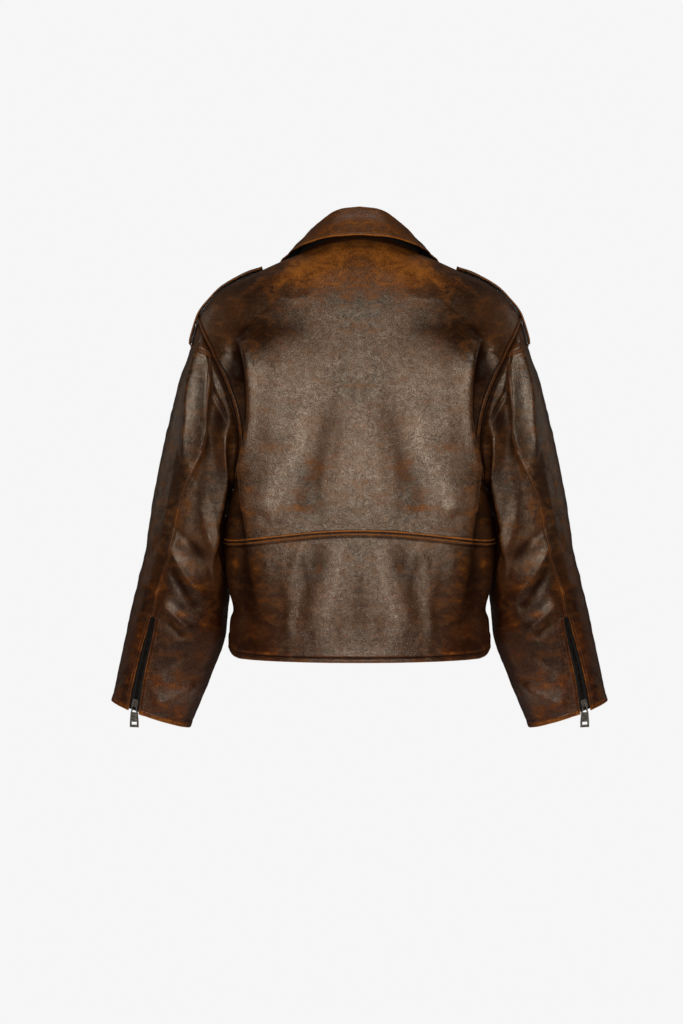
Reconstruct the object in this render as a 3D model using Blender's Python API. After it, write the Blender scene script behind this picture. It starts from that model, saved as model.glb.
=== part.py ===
"""A cropped leather biker jacket, standing hollow in the shape it is worn in.

Metres, +Z up. The front faces -Y, the back +Y, and the wearer's left is +X. The origin is
between the shoulders, at the height where the jacket rests on the wearer. Every panel is a
wall of leather between an outer surface, worked out from the section rows below, and the
same surface moved in along its normals. Panels stop half a seam gap short of each seam.
"""
import math

import bpy
import numpy as np
from mathutils import Matrix

# Walls and gaps
LEATHER = 0.0018          # one leather panel
COLLAR_THICK = 0.0024     # two thinner layers sewn back to back
STRAP_THICK = 0.0026      # the same on the shoulder straps
SEAM_GAP = 0.0007         # between two panels that are sewn together
CLEAR = 0.0004            # between a panel and what lies on or under it
TAPE = 0.0010             # woven zip tape

# Body: rows from the neck down to the hem. A row is a curve from the centre line round to
# its edge, which is the shoulder seam (rows 0 to 5), the armhole (5 to 14) or the side seam.
NECK, TIP, UNDERARM, WAIST, HEM = 0, 5, 14, 16, 20
BACK = (
    # centre z, centre depth, edge x, edge depth, edge z, turn of the curve in degrees
    (0.0210, 0.0880, 0.0850, 0.0000, 0.0080, 90),
    (0.0080, 0.0980, 0.1195, 0.0000, -0.0060, 90),
    (-0.0060, 0.1040, 0.1510, 0.0000, -0.0200, 90),
    (-0.0220, 0.1090, 0.1860, 0.0000, -0.0360, 90),
    (-0.0380, 0.1120, 0.2090, 0.0000, -0.0530, 90),
    (-0.0600, 0.1155, 0.2285, 0.0000, -0.0780, 90),
    (-0.0800, 0.1180, 0.2272, 0.0250, -0.0860, 78),
    (-0.1000, 0.1200, 0.2195, 0.0470, -0.1060, 68),
    (-0.1300, 0.1225, 0.2049, 0.0630, -0.1360, 60),
    (-0.1650, 0.1245, 0.1864, 0.0720, -0.1745, 55),
    (-0.2050, 0.1260, 0.1722, 0.0720, -0.2155, 53),
    (-0.2450, 0.1260, 0.1668, 0.0630, -0.2540, 56),
    (-0.2800, 0.1250, 0.1705, 0.0470, -0.2854, 64),
    (-0.3030, 0.1245, 0.1750, 0.0250, -0.3060, 76),
    (-0.3200, 0.1240, 0.1775, 0.0000, -0.3135, 90),
    (-0.3500, 0.1225, 0.1868, 0.0000, -0.3550, 90),
    (-0.3780, 0.1220, 0.1926, 0.0000, -0.3986, 90),
    (-0.4500, 0.1210, 0.1885, 0.0000, -0.4550, 90),
    (-0.4930, 0.1205, 0.1800, 0.0000, -0.4930, 90),
    (-0.5120, 0.1200, 0.1845, 0.0000, -0.5120, 90),
    (-0.5610, 0.1200, 0.1858, 0.0000, -0.5605, 90),
)
FRONT = (
    # centre z, centre depth, edge x, edge depth, edge z, turn of the curve in degrees
    (-0.0700, 0.0965, 0.0850, 0.0000, 0.0080, 90),
    (-0.0800, 0.1010, 0.1195, 0.0000, -0.0060, 90),
    (-0.0910, 0.1050, 0.1510, 0.0000, -0.0200, 90),
    (-0.1030, 0.1090, 0.1860, 0.0000, -0.0360, 90),
    (-0.1150, 0.1120, 0.2090, 0.0000, -0.0530, 90),
    (-0.1290, 0.1150, 0.2285, 0.0000, -0.0780, 90),
    (-0.1450, 0.1170, 0.2267, 0.0250, -0.0865, 78),
    (-0.1620, 0.1190, 0.2160, 0.0460, -0.1060, 68),
    (-0.1830, 0.1205, 0.1985, 0.0610, -0.1370, 60),
    (-0.2060, 0.1215, 0.1785, 0.0690, -0.1750, 55),
    (-0.2320, 0.1220, 0.1640, 0.0690, -0.2160, 53),
    (-0.2600, 0.1215, 0.1600, 0.0610, -0.2540, 56),
    (-0.2880, 0.1205, 0.1660, 0.0460, -0.2854, 64),
    (-0.3110, 0.1195, 0.1735, 0.0250, -0.3060, 76),
    (-0.3320, 0.1190, 0.1775, 0.0000, -0.3135, 90),
    (-0.3620, 0.1175, 0.1868, 0.0000, -0.3550, 90),
    (-0.3980, 0.1165, 0.1926, 0.0000, -0.3986, 90),
    (-0.4550, 0.1150, 0.1885, 0.0000, -0.4550, 90),
    (-0.4930, 0.1140, 0.1800, 0.0000, -0.4930, 90),
    (-0.5120, 0.1135, 0.1845, 0.0000, -0.5120, 90),
    (-0.5600, 0.1130, 0.1858, 0.0000, -0.5605, 90),
)
FLATNESS = 0.8            # under 1 flattens the middle of back and front and rounds the sides
BACK_SAG, FRONT_SAG = 3.0, 1.8    # how late a row leaves its centre height for its edge height
FRONT_ZIP_HALF = 0.0080   # from the centre line to the leather's edge at the front zip

# Left sleeve: rings from the armhole (0) to the cuff (11), each an ellipse between its outer
# and its inner point. The armhole's own curve fades into the rings over the first of them.
CUFF = 11
SLEEVE = (
    # outer x, outer z, inner x, inner z, half depth, centre y, back seam and front seam angle
    (0.2285, -0.0780, 0.1775, -0.3135, 0.0720, 0.0000, 60, -60),
    (0.2440, -0.1328, 0.1815, -0.3260, 0.0730, -0.0030, 90, -66),
    (0.2572, -0.1696, 0.1862, -0.3401, 0.0720, -0.0070, 97, -74),
    (0.2721, -0.2256, 0.1905, -0.3640, 0.0700, -0.0130, 90, -82),
    (0.2858, -0.2828, 0.1920, -0.3955, 0.0680, -0.0200, 80, -90),
    (0.2981, -0.3403, 0.1908, -0.4310, 0.0660, -0.0270, 74, -96),
    (0.3075, -0.3981, 0.1875, -0.4680, 0.0640, -0.0330, 69, -100),
    (0.3196, -0.4561, 0.1905, -0.5055, 0.0620, -0.0380, 61.5, -104),
    (0.3316, -0.4999, 0.1950, -0.5420, 0.0600, -0.0410, 63, -106),
    (0.3407, -0.5439, 0.2070, -0.5750, 0.0560, -0.0440, 62.5, -108),
    (0.3511, -0.5899, 0.2245, -0.6190, 0.0500, -0.0460, 63.5, -110),
    (0.3601, -0.6318, 0.2465, -0.6707, 0.0430, -0.0480, 68.5, -110),
)
ARMHOLE_FADE = 1.2        # rings over which the armhole's own curve fades away
CAP_DEPTH = 0.77          # ring number that the sleeve cap reaches at the top of the arm
CAP_TAPER = 0.9           # how much of that depth is gone at the ends of the cap

# Collar: columns round the neck from the centre back (0) to the centre front (8).
COLLAR = (
    # top of the fold x, y, z, leaf edge x, y, z
    (0.0000, 0.0850, 0.0670, 0.0000, 0.1150, 0.0240),
    (0.0300, 0.0790, 0.0635, 0.0430, 0.1080, 0.0218),
    (0.0580, 0.0600, 0.0480, 0.0720, 0.0850, 0.0168),
    (0.0765, 0.0330, 0.0335, 0.0895, 0.0480, 0.0140),
    (0.0850, 0.0000, 0.0215, 0.1050, 0.0000, 0.0095),
    (0.0820, -0.0400, 0.0060, 0.1180, -0.0450, -0.0030),
    (0.0620, -0.0780, -0.0210, 0.1120, -0.0920, -0.0420),
    (0.0360, -0.0990, -0.0460, 0.0860, -0.1180, -0.0800),
    (0.0100, -0.1080, -0.0600, 0.0560, -0.1290, -0.1080),
)
COLLAR_LIFT = 0.0012      # collar's lower edge above the neckline
COLLAR_OPENING = 0.06     # where the collar ends at the front, as a share of the neckline's half
FOLD_ROUND = 0.0042       # half the thickness of the collar's rolled top
LEAF_CROWN = 0.0012       # how far the leaf bows out between fold and edge

# Epaulettes: the strap's outer face along the shoulder, from the sleeve cap's seam inward.
STRAP = (
    # x, z, half width, drop of the long edges below the middle
    (0.2425, -0.1190, 0.0235, 0.0010),
    (0.2422, -0.1120, 0.0235, 0.0010),
    (0.2392, -0.1010, 0.0232, 0.0006),
    (0.2354, -0.0890, 0.0228, 0.0004),
    (0.2312, -0.0765, 0.0225, 0.0006),
    (0.2248, -0.0652, 0.0222, 0.0010),
    (0.2148, -0.0525, 0.0218, 0.0016),
    (0.2010, -0.0380, 0.0212, 0.0020),
    (0.1860, -0.0270, 0.0205, 0.0024),
    (0.1710, -0.0188, 0.0198, 0.0028),
    (0.1555, -0.0118, 0.0190, 0.0030),
    (0.1395, -0.0060, 0.0182, 0.0030),
)
STRAP_POINT = 0.1         # share of the strap's length that its rounded end takes

# Largest folds. Each is a soft ridge (rise over 0) or trough along a bowed line.
BACK_FOLDS = (
    # start x, z, middle x, z, end x, z, half width, rise
    (0.1610, -0.1200, 0.1540, -0.2100, 0.1500, -0.3400, 0.0110, -0.0085),
    (0.1500, -0.1350, 0.1400, -0.2200, 0.1420, -0.3300, 0.0110, 0.0030),
    (0.1150, -0.4050, 0.0800, -0.4600, 0.0620, -0.5300, 0.0150, -0.0035),
)
FRONT_FOLDS = (
    (0.1450, -0.1300, 0.1400, -0.2000, 0.1480, -0.3100, 0.0120, -0.0070),
    (0.1600, -0.3300, 0.1200, -0.3700, 0.0800, -0.3900, 0.0130, -0.0040),
)
# Sleeve folds use (round angle in degrees, ring) as their two measures.
SLEEVE_FOLDS = (
    (100, 0.6, 128, 1.7, 150, 3.2, 11, -0.0060),
    (60, 6.3, 100, 6.9, 140, 6.7, 11, -0.0050),
    (75, 7.4, 115, 7.9, 155, 7.6, 11, -0.0040),
    (-150, 5.2, -115, 5.8, -70, 5.6, 12, -0.0060),
    (-155, 6.4, -120, 6.9, -80, 6.6, 12, -0.0050),
    (-120, 1.2, -135, 2.4, -150, 3.6, 12, -0.0060),
    (-45, 0.46, 0, 0.54, 45, 0.46, 12, -0.0022),
)
RING_AS_DEGREES = 34.0    # one ring along the sleeve is as far as this much turn round it

# Zips. A cuff zip opens the sleeve's back seam from ring ZIP_TOP to the cuff.
ZIP_TOP = 7.85
ZIP_SLOT_TOP, ZIP_SLOT_CUFF = 0.0036, 0.0082     # half the slot in the leather
ZIP_SLOT_SPREAD = 0.6     # under 1 widens the slot sooner below its top
TAPE_HIDDEN = 0.0030      # tape beyond each edge of the slot
TAPE_DEPTH = 0.0030       # tape's outer face below the leather's
CUFF_TAPE_ROWS, FRONT_TAPE_ROWS = 8, 14
SLIDER_WIDE, SLIDER_LONG, SLIDER_THICK = 0.0088, 0.0110, 0.0022
SLIDER_NOSE = 0.72        # width of the slider's two ends as a share of its middle
BRIDGE_WIDE, BRIDGE_LONG, BRIDGE_HIGH, BRIDGE_BAR = 0.0024, 0.0066, 0.0044, 0.0011
SLIDER_RING = 10.72       # where the cuff slider sits along the sleeve
FRONT_SLIDER_ROW = 0.55   # where the front slider sits down the body
PIN_HEIGHT = 0.0019       # pull tab's axis above the slider's face
PIN_HALF = 0.0006         # half the pull tab's cross bar
TAB_WIDE, TAB_THICK = 0.0136, 0.0012
TAB_ARM, TAB_ARM_GAP = 0.0014, 0.0025            # an arm's width, and half the gap between arms
TAB_ARM_END, TAB_WINDOW_TOP, TAB_WINDOW_END, TAB_END = -0.0125, -0.0262, -0.0303, -0.0340
TAB_NECK_WIDE = 0.0112    # the tab's width where its arms begin
TAB_RIM = 0.0026          # metal left beside the tab's window
TAB_OFF_CHEST = 0.0045    # how far the front tab's end stands off the chest


def material(name, rgb, roughness, metallic=0.0):
    """A plain Principled material."""
    made = bpy.data.materials.new(name)
    made.use_nodes = True
    shader = made.node_tree.nodes["Principled BSDF"]
    shader.inputs["Base Color"].default_value = (*rgb, 1.0)
    shader.inputs["Roughness"].default_value = roughness
    shader.inputs["Metallic"].default_value = metallic
    return made


def read_rows(rows, at):
    """Columns at fractional row numbers: a smooth curve through every row."""
    rows = np.asarray(rows, float)
    rows = np.vstack([2 * rows[:1] - rows[1:2], rows, 2 * rows[-1:] - rows[-2:-1]])
    at = np.asarray(at, float) + 1
    k = np.clip(np.floor(at).astype(int), 1, len(rows) - 3)
    t = (at - k)[..., None]
    before, start, end, after = rows[k - 1], rows[k], rows[k + 1], rows[k + 2]
    curve = 2 * before - 5 * start + 4 * end - after + t * (3 * (start - end) + after - before)
    return start + 0.5 * t * (end - before + t * curve)


def unit(vectors):
    """The same directions at length 1."""
    return vectors / np.linalg.norm(vectors, axis=-1, keepdims=True)


def fold_rise(x, y, folds):
    """Height of all folds at (x, y): a bell across each fold's line, tapered to its ends."""
    t = np.linspace(0.0, 1.0, 25)
    total = np.zeros(np.shape(x))
    for x0, y0, xm, ym, x1, y1, half_width, rise in folds:
        bow = 4 * t * (1 - t)
        line_x = x0 + (x1 - x0) * t + (xm - (x0 + x1) / 2) * bow
        line_y = y0 + (y1 - y0) * t + (ym - (y0 + y1) / 2) * bow
        away = np.hypot(x[..., None] - line_x, y[..., None] - line_y)
        nearest = t[np.argmin(away, axis=-1)]
        bell = np.exp(-((away.min(axis=-1) / half_width) ** 2))
        total += rise * bell * np.sin(math.pi * nearest) ** 0.6
    return total


def edge_columns(rows, down):
    """Edge x, depth and z of a body row, with the corners kept where the edge turns from
    shoulder to armhole and from armhole to side seam."""
    spans = ((NECK, TIP), (TIP, UNDERARM), (UNDERARM, HEM))
    parts = [read_rows(np.array(rows)[a:b + 1, 2:5], down - a) for a, b in spans]
    above, below = (down < TIP)[..., None], (down > UNDERARM)[..., None]
    return np.where(above, parts[0], np.where(below, parts[2], parts[1]))


def body_curve(side, across, down):
    """Body surface before its folds. side is +1 for the back and -1 for the front, across
    runs -1 to 1 from edge to edge, and down is a row number."""
    rows, sag = (BACK, BACK_SAG) if side > 0 else (FRONT, FRONT_SAG)
    across, down = np.broadcast_arrays(np.asarray(across, float), np.asarray(down, float))
    table = read_rows(rows, down)
    at_edge = np.abs(across)[..., None] ** 6
    table[..., 2:5] += (edge_columns(rows, down) - table[..., 2:5]) * at_edge
    centre_z, centre_y, edge_x, edge_y, edge_z, turn = np.moveaxis(table, -1, 0)
    turn = np.radians(np.minimum(turn, 90))
    angle = across * turn

    def level(a, power):
        return np.sign(np.cos(a)) * np.abs(np.cos(a)) ** power

    reach = (level(angle, FLATNESS) - level(turn, FLATNESS)) / (1 - level(turn, FLATNESS))
    drop = (1 - level(angle, sag)) / (1 - level(turn, sag))
    x = edge_x * np.sin(angle) / np.sin(turn)
    y = side * (edge_y + (centre_y - edge_y) * reach)
    z = centre_z + (edge_z - centre_z) * drop
    return np.stack([x, y, z], axis=-1)


def sleeve_curve(angle, ring):
    """Left sleeve's surface before its folds. angle is in degrees round the arm: 0 is the
    outer side, 90 the back, 180 the inner side and -90 the front."""
    angle, ring = np.broadcast_arrays(np.asarray(angle, float), np.asarray(ring, float))
    table = read_rows(SLEEVE, ring)
    outer_x, outer_z, inner_x, inner_z, depth, centre_y = np.moveaxis(table[..., :6], -1, 0)
    round_turn = np.radians(angle)

    def ellipse(ox, oz, ix, iz, d, cy):
        x = (ox + ix) / 2 + (ox - ix) / 2 * np.cos(round_turn)
        z = (oz + iz) / 2 + (oz - iz) / 2 * np.cos(round_turn)
        return np.stack([x, cy + d * np.sin(round_turn), z], axis=-1)

    turned = (angle + 180) % 360 - 180
    down = TIP + (UNDERARM - TIP) * np.abs(turned) / 180
    rim = np.where((turned >= 0)[..., None], body_curve(1, 1.0, down), body_curve(-1, 1.0, down))
    fade = np.clip(1 - ring / ARMHOLE_FADE, 0, None)[..., None] ** 2
    start = ellipse(*SLEEVE[0][:6])
    return ellipse(outer_x, outer_z, inner_x, inner_z, depth, centre_y) + (rim - start) * fade


def normals(surface, a, b, step_a, step_b, facing):
    """Unit normals of surface(a, b) by small steps; facing is +1 or -1."""
    along_a = surface(a + step_a, b) - surface(a - step_a, b)
    along_b = surface(a, b + step_b) - surface(a, b - step_b)
    return unit(facing * np.cross(along_a, along_b))


def body_normal(side, across, down):
    """Outward unit normal of the body."""
    def surface(a, b):
        return body_curve(side, a, b)
    return normals(surface, across, down, 0.004, 0.02, side)


def sleeve_normal(angle, ring):
    """Outward unit normal of the left sleeve."""
    return normals(sleeve_curve, angle, ring, 0.8, 0.02, -1)


def armhole_normal(angle):
    """Direction halfway between body and sleeve at the armhole seam, so both walls end in
    parallel faces there. It lies in the side plane at the shoulder's tip and the underarm,
    where back and front meet too."""
    turned = (angle + 180) % 360 - 180
    down = TIP + (UNDERARM - TIP) * np.abs(turned) / 180
    back, front = body_normal(1, 0.999, down), body_normal(-1, 0.999, down)
    body = np.where((turned >= 0)[..., None], back, front)
    halfway = body + sleeve_normal(angle, 0.02)
    halfway[..., 1] *= np.clip(3 * np.abs(np.sin(np.radians(turned))), 0, 1)
    return unit(halfway)


def body_panel(side, across, down, moved_in=0.0):
    """Outer points and normals of a body panel, folds included."""
    points = body_curve(side, across, down)
    facing = body_normal(side, across, down)
    folds = BACK_FOLDS if side > 0 else FRONT_FOLDS
    rise = fold_rise(np.abs(points[..., 0]), points[..., 2], folds)
    edge = np.clip((1 - np.abs(across)) / 0.12, 0, 1)
    points = points + facing * (rise * edge - moved_in)[..., None]
    angle = (down - TIP) / (UNDERARM - TIP) * 180
    at_armhole = (np.abs(across) > 0.99) & (angle > -1) & (angle < 181)
    shared = armhole_normal(np.clip(angle, 0, 180) * side)
    shared = shared * np.stack([np.sign(across), np.ones_like(across), np.ones_like(across)], -1)
    return points, np.where(at_armhole[..., None], shared, facing)


def sleeve_panel(angle, ring, moved_in=0.0):
    """Outer points and normals of a left sleeve panel, folds included."""
    points = sleeve_curve(angle, ring)
    facing = sleeve_normal(angle, ring)
    rise = fold_rise(angle, ring * RING_AS_DEGREES, [
        (a0, r0 * RING_AS_DEGREES, am, rm * RING_AS_DEGREES, a1, r1 * RING_AS_DEGREES, w, rise)
        for a0, r0, am, rm, a1, r1, w, rise in SLEEVE_FOLDS])
    ends = np.clip(ring / 0.6, 0, 1) * np.clip((CUFF - ring) / 0.5, 0, 1)
    points = points + facing * (rise * ends - moved_in)[..., None]
    at_armhole = ring < 0.06
    return points, np.where(at_armhole[..., None], armhole_normal(angle), facing)


def trim(points, sides):
    """Moves the named edges of a grid of points half a seam gap back from the seam."""
    points = points.copy()
    for edge, neighbour in ((0, 1), (-1, -2)):
        if ("start" if edge == 0 else "end") in sides:
            step = unit(points[neighbour] - points[edge])
            points[edge] += step * SEAM_GAP / 2
        if ("left" if edge == 0 else "right") in sides:
            step = unit(points[:, neighbour] - points[:, edge])
            points[:, edge] += step * SEAM_GAP / 2
    return points


def add_mesh(name, points, faces, finish):
    """A mesh object with its faces turned outward, whatever way round they were listed."""
    points = np.asarray(points, float)
    volume = 0.0
    for face in faces:
        for second, third in zip(face[1:-1], face[2:]):
            volume += np.dot(points[face[0]], np.cross(points[second], points[third]))
    if volume < 0:
        faces = [tuple(reversed(face)) for face in faces]
    mesh = bpy.data.meshes.new(name)
    mesh.from_pydata([tuple(p) for p in points], [], faces)
    mesh.update()
    mesh.materials.append(finish)
    made = bpy.data.objects.new(name, mesh)
    bpy.context.scene.collection.objects.link(made)
    mesh.shade_smooth()
    mesh.set_sharp_from_angle(angle=math.radians(40))
    return made


def wall(name, outer, facing, thickness, finish, hand=1):
    """A closed wall between a grid of outer points and the same points moved in."""
    inner = outer - facing * thickness
    mirror = np.array([hand, 1, 1])
    rows, columns = outer.shape[:2]
    points = np.concatenate([outer.reshape(-1, 3), inner.reshape(-1, 3)]) * mirror
    at = np.arange(rows * columns).reshape(rows, columns)
    under = at + rows * columns
    quads = [(at[i, j], at[i + 1, j], at[i + 1, j + 1], at[i, j + 1])
             for i in range(rows - 1) for j in range(columns - 1)]
    quads += [(under[i, j], under[i, j + 1], under[i + 1, j + 1], under[i + 1, j])
              for i in range(rows - 1) for j in range(columns - 1)]
    rim = list(at[0, :]) + list(at[1:, -1]) + list(at[-1, -2::-1]) + list(at[-2:0:-1, 0])
    for here, after in zip(rim, rim[1:] + rim[:1]):
        quads.append((here, after, after + rows * columns, here + rows * columns))
    return add_mesh(name, points, [tuple(int(v) for v in quad) for quad in quads], finish)


def grid(first, second):
    """Two grids of the same shape from two lists of positions, rows first."""
    return np.meshgrid(first, second, indexing="ij")


# Body rows that become edges of the panels' faces. Between the tip of the shoulder and the
# underarm they meet the sleeve's columns: every 15 degrees at the cap and 20 below it.
UPPER_ROWS = (0, 1, 2, 3, 4, 5, 5.75, 6.5, 7.25, 8, 9, 10, 11, 12, 13, 14, 15, 16)
LOWER_ROWS = (16, 17, 18, 19, 20)
CAP_ANGLES = np.arange(-60, 61, 15.0)
BODY_COLUMNS, FRONT_COLUMNS, UNDER_COLUMNS, COLLAR_COLUMNS = 29, 12, 13, 27


def make_body(leather):
    """Back above and below the waist seam, and the two plain fronts."""
    across = np.linspace(-1, 1, BODY_COLUMNS)
    for name, rows in (("back_upper", UPPER_ROWS), ("back_lower", LOWER_ROWS)):
        down, columns = grid(rows, across)
        points, facing = body_panel(1, columns, down)
        points = trim(points, ("start", "left", "right", "end" if rows[-1] == WAIST else "start"))
        wall(name, points, facing, LEATHER, leather)
    for name, hand in (("front_left", 1), ("front_right", -1)):
        down = np.array(UPPER_ROWS + LOWER_ROWS[1:], float)
        centre = FRONT_ZIP_HALF / read_rows(FRONT, down)[:, 2]
        centre = centre * np.sin(np.radians(np.minimum(read_rows(FRONT, down)[:, 5], 90)))
        centre = np.degrees(np.arcsin(centre)) / np.minimum(read_rows(FRONT, down)[:, 5], 90)
        share = np.linspace(0, 1, FRONT_COLUMNS)[None, :]
        columns = centre[:, None] + (1 - centre[:, None]) * share
        points, facing = body_panel(-1, columns, np.repeat(down[:, None], FRONT_COLUMNS, axis=1))
        wall(name, trim(points, ("start", "right")), facing, LEATHER, leather, hand)


def cap_edge(angle):
    """Ring number where the sleeve cap ends: deep on top of the arm, shallow at its ends."""
    end = np.where(angle > 0, SLEEVE[0][6], -SLEEVE[0][7])
    return CAP_DEPTH * (1 - CAP_TAPER * np.clip(np.abs(angle) / end, 0, 1) ** 2)


def slot_turn(ring):
    """Half the cuff zip's slot, as degrees round the sleeve, at a ring."""
    share = np.clip((ring - ZIP_TOP) / (CUFF - ZIP_TOP), 0, 1)
    half = ZIP_SLOT_TOP + (ZIP_SLOT_CUFF - ZIP_SLOT_TOP) * share ** ZIP_SLOT_SPREAD
    return np.where(ring >= ZIP_TOP, np.degrees(half / sleeve_radius(ring)), 0.0)


def sleeve_radius(ring):
    """Metres along the sleeve's surface for one radian of its angle, near the back seam."""
    angle = read_rows(SLEEVE, ring)[..., 6]
    step = sleeve_curve(angle + 1, ring) - sleeve_curve(angle - 1, ring)
    return np.linalg.norm(step, axis=-1) / math.radians(2)


def sleeve_rows():
    """Ring numbers of the sleeve panels' rows below the cap, with two at the zip's top."""
    return np.array([1.3, 2.0, 2.8, 3.6, 4.6, 5.6, 6.4, 7.1,
                     ZIP_TOP - 0.02, ZIP_TOP + 0.02, 8.5, 9.3, 10.2, CUFF])


def make_sleeves(leather):
    """Cap, top and under panel of each sleeve."""
    rings = sleeve_rows()
    seams = read_rows(SLEEVE, rings)
    slot = slot_turn(rings)
    first, last = CAP_ANGLES[0], CAP_ANGLES[-1]
    for side, hand in (("left", 1), ("right", -1)):
        share, angle = grid(np.linspace(0, 1, 3), CAP_ANGLES)
        points, facing = sleeve_panel(angle, share * cap_edge(angle))
        points = trim(points, ("start", "end", "left", "right"))
        wall(f"sleeve_cap_{side}", points, facing, LEATHER, leather, hand)

        share = np.linspace(0, 1, len(CAP_ANGLES))[None, :]
        start, end = seams[:, 7:8], (seams[:, 6] - slot)[:, None]
        edge = cap_edge(CAP_ANGLES)
        angle = start + (end - start) * share
        angle = np.vstack([CAP_ANGLES, (CAP_ANGLES + angle[0]) / 2, angle])
        ring = np.repeat(rings[:, None], len(edge), axis=1)
        ring = np.vstack([edge, (edge + rings[0]) / 2, ring])
        points, facing = sleeve_panel(angle, ring)
        points = trim(points, ("start", "left", "right"))
        wall(f"sleeve_top_{side}", points, facing, LEATHER, leather, hand)

        share = np.linspace(0, 1, UNDER_COLUMNS)[None, :]
        start, end = (seams[:, 6] + slot)[:, None], 360 + seams[:, 7:8]
        angle = start + (end - start) * share
        hem = last + (360 + first - last) * share
        angle = np.vstack([hem, hem, (hem + angle[:1]) / 2, angle])
        ring = np.concatenate([[0.0, edge[0], (edge[0] + rings[0]) / 2], rings])
        points, facing = sleeve_panel(angle, np.repeat(ring[:, None], UNDER_COLUMNS, axis=1))
        points = trim(points, ("start", "left", "right"))
        points[0] -= sleeve_normal(angle[0], 0.05) * SEAM_GAP / 2
        wall(f"sleeve_under_{side}", points, facing, LEATHER, leather, hand)


def collar_sections(columns):
    """Collar's outer face: for each column the curve up the stand, over the rolled top and
    down the leaf to its edge, as a grid of 3-D points with the section running second."""
    rows = read_rows(COLLAR, np.abs(columns))
    even = np.ones_like(columns)
    mirror = np.stack([np.where(columns < 0, -1, 1), even, even], axis=-1)
    top, edge = rows[:, 0:3] * mirror, rows[:, 3:6] * mirror
    round_neck = np.abs(columns) / 4
    at_back = body_curve(1, np.clip(round_neck, 0, 1), NECK)
    at_front = body_curve(-1, np.clip(2 - round_neck, COLLAR_OPENING, 1), NECK)
    seam = np.where((round_neck <= 1)[:, None], at_back, at_front) * mirror
    seam[:, 2] += COLLAR_LIFT
    out = unit((edge - top) * np.array([1, 1, 0]))
    rise = np.array([0, 0, 1.0])
    knots = np.stack([
        seam,
        seam * 0.5 + top * 0.5 - out * 0.0015,
        top - out * FOLD_ROUND - rise * 0.0060,
        top,
        top + out * FOLD_ROUND - rise * 0.0055,
        top * 0.5 + edge * 0.5 + (out + rise) * LEAF_CROWN,
        edge,
    ])
    return knots


def make_collar(leather):
    """One fold-over collar, open at the front."""
    columns = np.linspace(-8, 8, COLLAR_COLUMNS)
    section = np.array([0, 0.9, 1.9, 2.5, 3, 3.5, 4.1, 5, 6])
    knots = collar_sections(columns)
    flat = knots.reshape(len(knots), -1)
    points = read_rows(flat, section).reshape(len(section), len(columns), 3)
    along = np.gradient(points, axis=0)
    round_neck = np.gradient(points, axis=1)
    facing = unit(np.cross(round_neck, along))
    wall("collar", trim(points, ("start",)), facing, COLLAR_THICK, leather)


def make_epaulettes(leather):
    """A strap on each shoulder, sewn in at the sleeve cap, with a rounded free end."""
    length = np.concatenate([np.linspace(0, 10, 11), [10.45, 10.75, 10.92, 11]])
    rows = read_rows(STRAP, length)
    point = np.clip((length / 11 - 1 + STRAP_POINT) / STRAP_POINT, 0, 0.995)
    half = rows[:, 2] * np.sqrt(1 - point ** 2)
    share = np.linspace(-1, 1, 5)
    along = np.gradient(rows[:, :2], axis=0)
    out = unit(np.stack([-along[:, 1], np.zeros(len(along)), along[:, 0]], axis=1)) * -1
    middle = np.stack([rows[:, 0], np.zeros(len(rows)), rows[:, 1]], axis=1)
    drop = rows[:, None, 3:4] * share[None, :, None] ** 2
    points = middle[:, None, :] - out[:, None, :] * drop
    points[..., 1] = half[:, None] * share[None, :]
    facing = np.broadcast_to(out[:, None, :], points.shape)
    for side, hand in (("left", 1), ("right", -1)):
        wall(f"epaulette_{side}", points, facing, STRAP_THICK, leather, hand)


def cells(name, across, along, solid, low, high, finish):
    """A flat piece made of the filled cells of a small grid, in its own (across, along,
    height) axes. across and along are the grid's lines, and across may change from one
    line to the next; solid says which cells are filled."""
    along, solid = np.asarray(along), np.asarray(solid, bool)
    across = np.broadcast_to(across, (len(along), np.shape(across)[-1]))
    filled = np.pad(solid, 1)
    number, points, faces = {}, [], []

    def corner(i, j, height):
        if (i, j, height) not in number:
            number[i, j, height] = len(points)
            points.append((across[j, i], along[j], height))
        return number[i, j, height]

    for j, i in zip(*np.nonzero(solid)):
        ring = ((i, j), (i + 1, j), (i + 1, j + 1), (i, j + 1))
        faces.append(tuple(corner(*spot, high) for spot in ring))
        faces.append(tuple(corner(*spot, low) for spot in reversed(ring)))
        beyond = (filled[j, i + 1], filled[j + 1, i + 2], filled[j + 2, i + 1], filled[j + 1, i])
        for k in range(4):
            if not beyond[k]:
                here, after = ring[k], ring[(k + 1) % 4]
                faces.append((corner(*after, high), corner(*here, high),
                              corner(*here, low), corner(*after, low)))
    return add_mesh(name, points, faces, finish)


def stand(made, origin, first, second):
    """Puts a piece at origin with its own first two axes along these directions."""
    turn = Matrix((first, second, np.cross(first, second))).transposed()
    made.matrix_world = Matrix.Translation(origin) @ turn.to_4x4()


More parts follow.
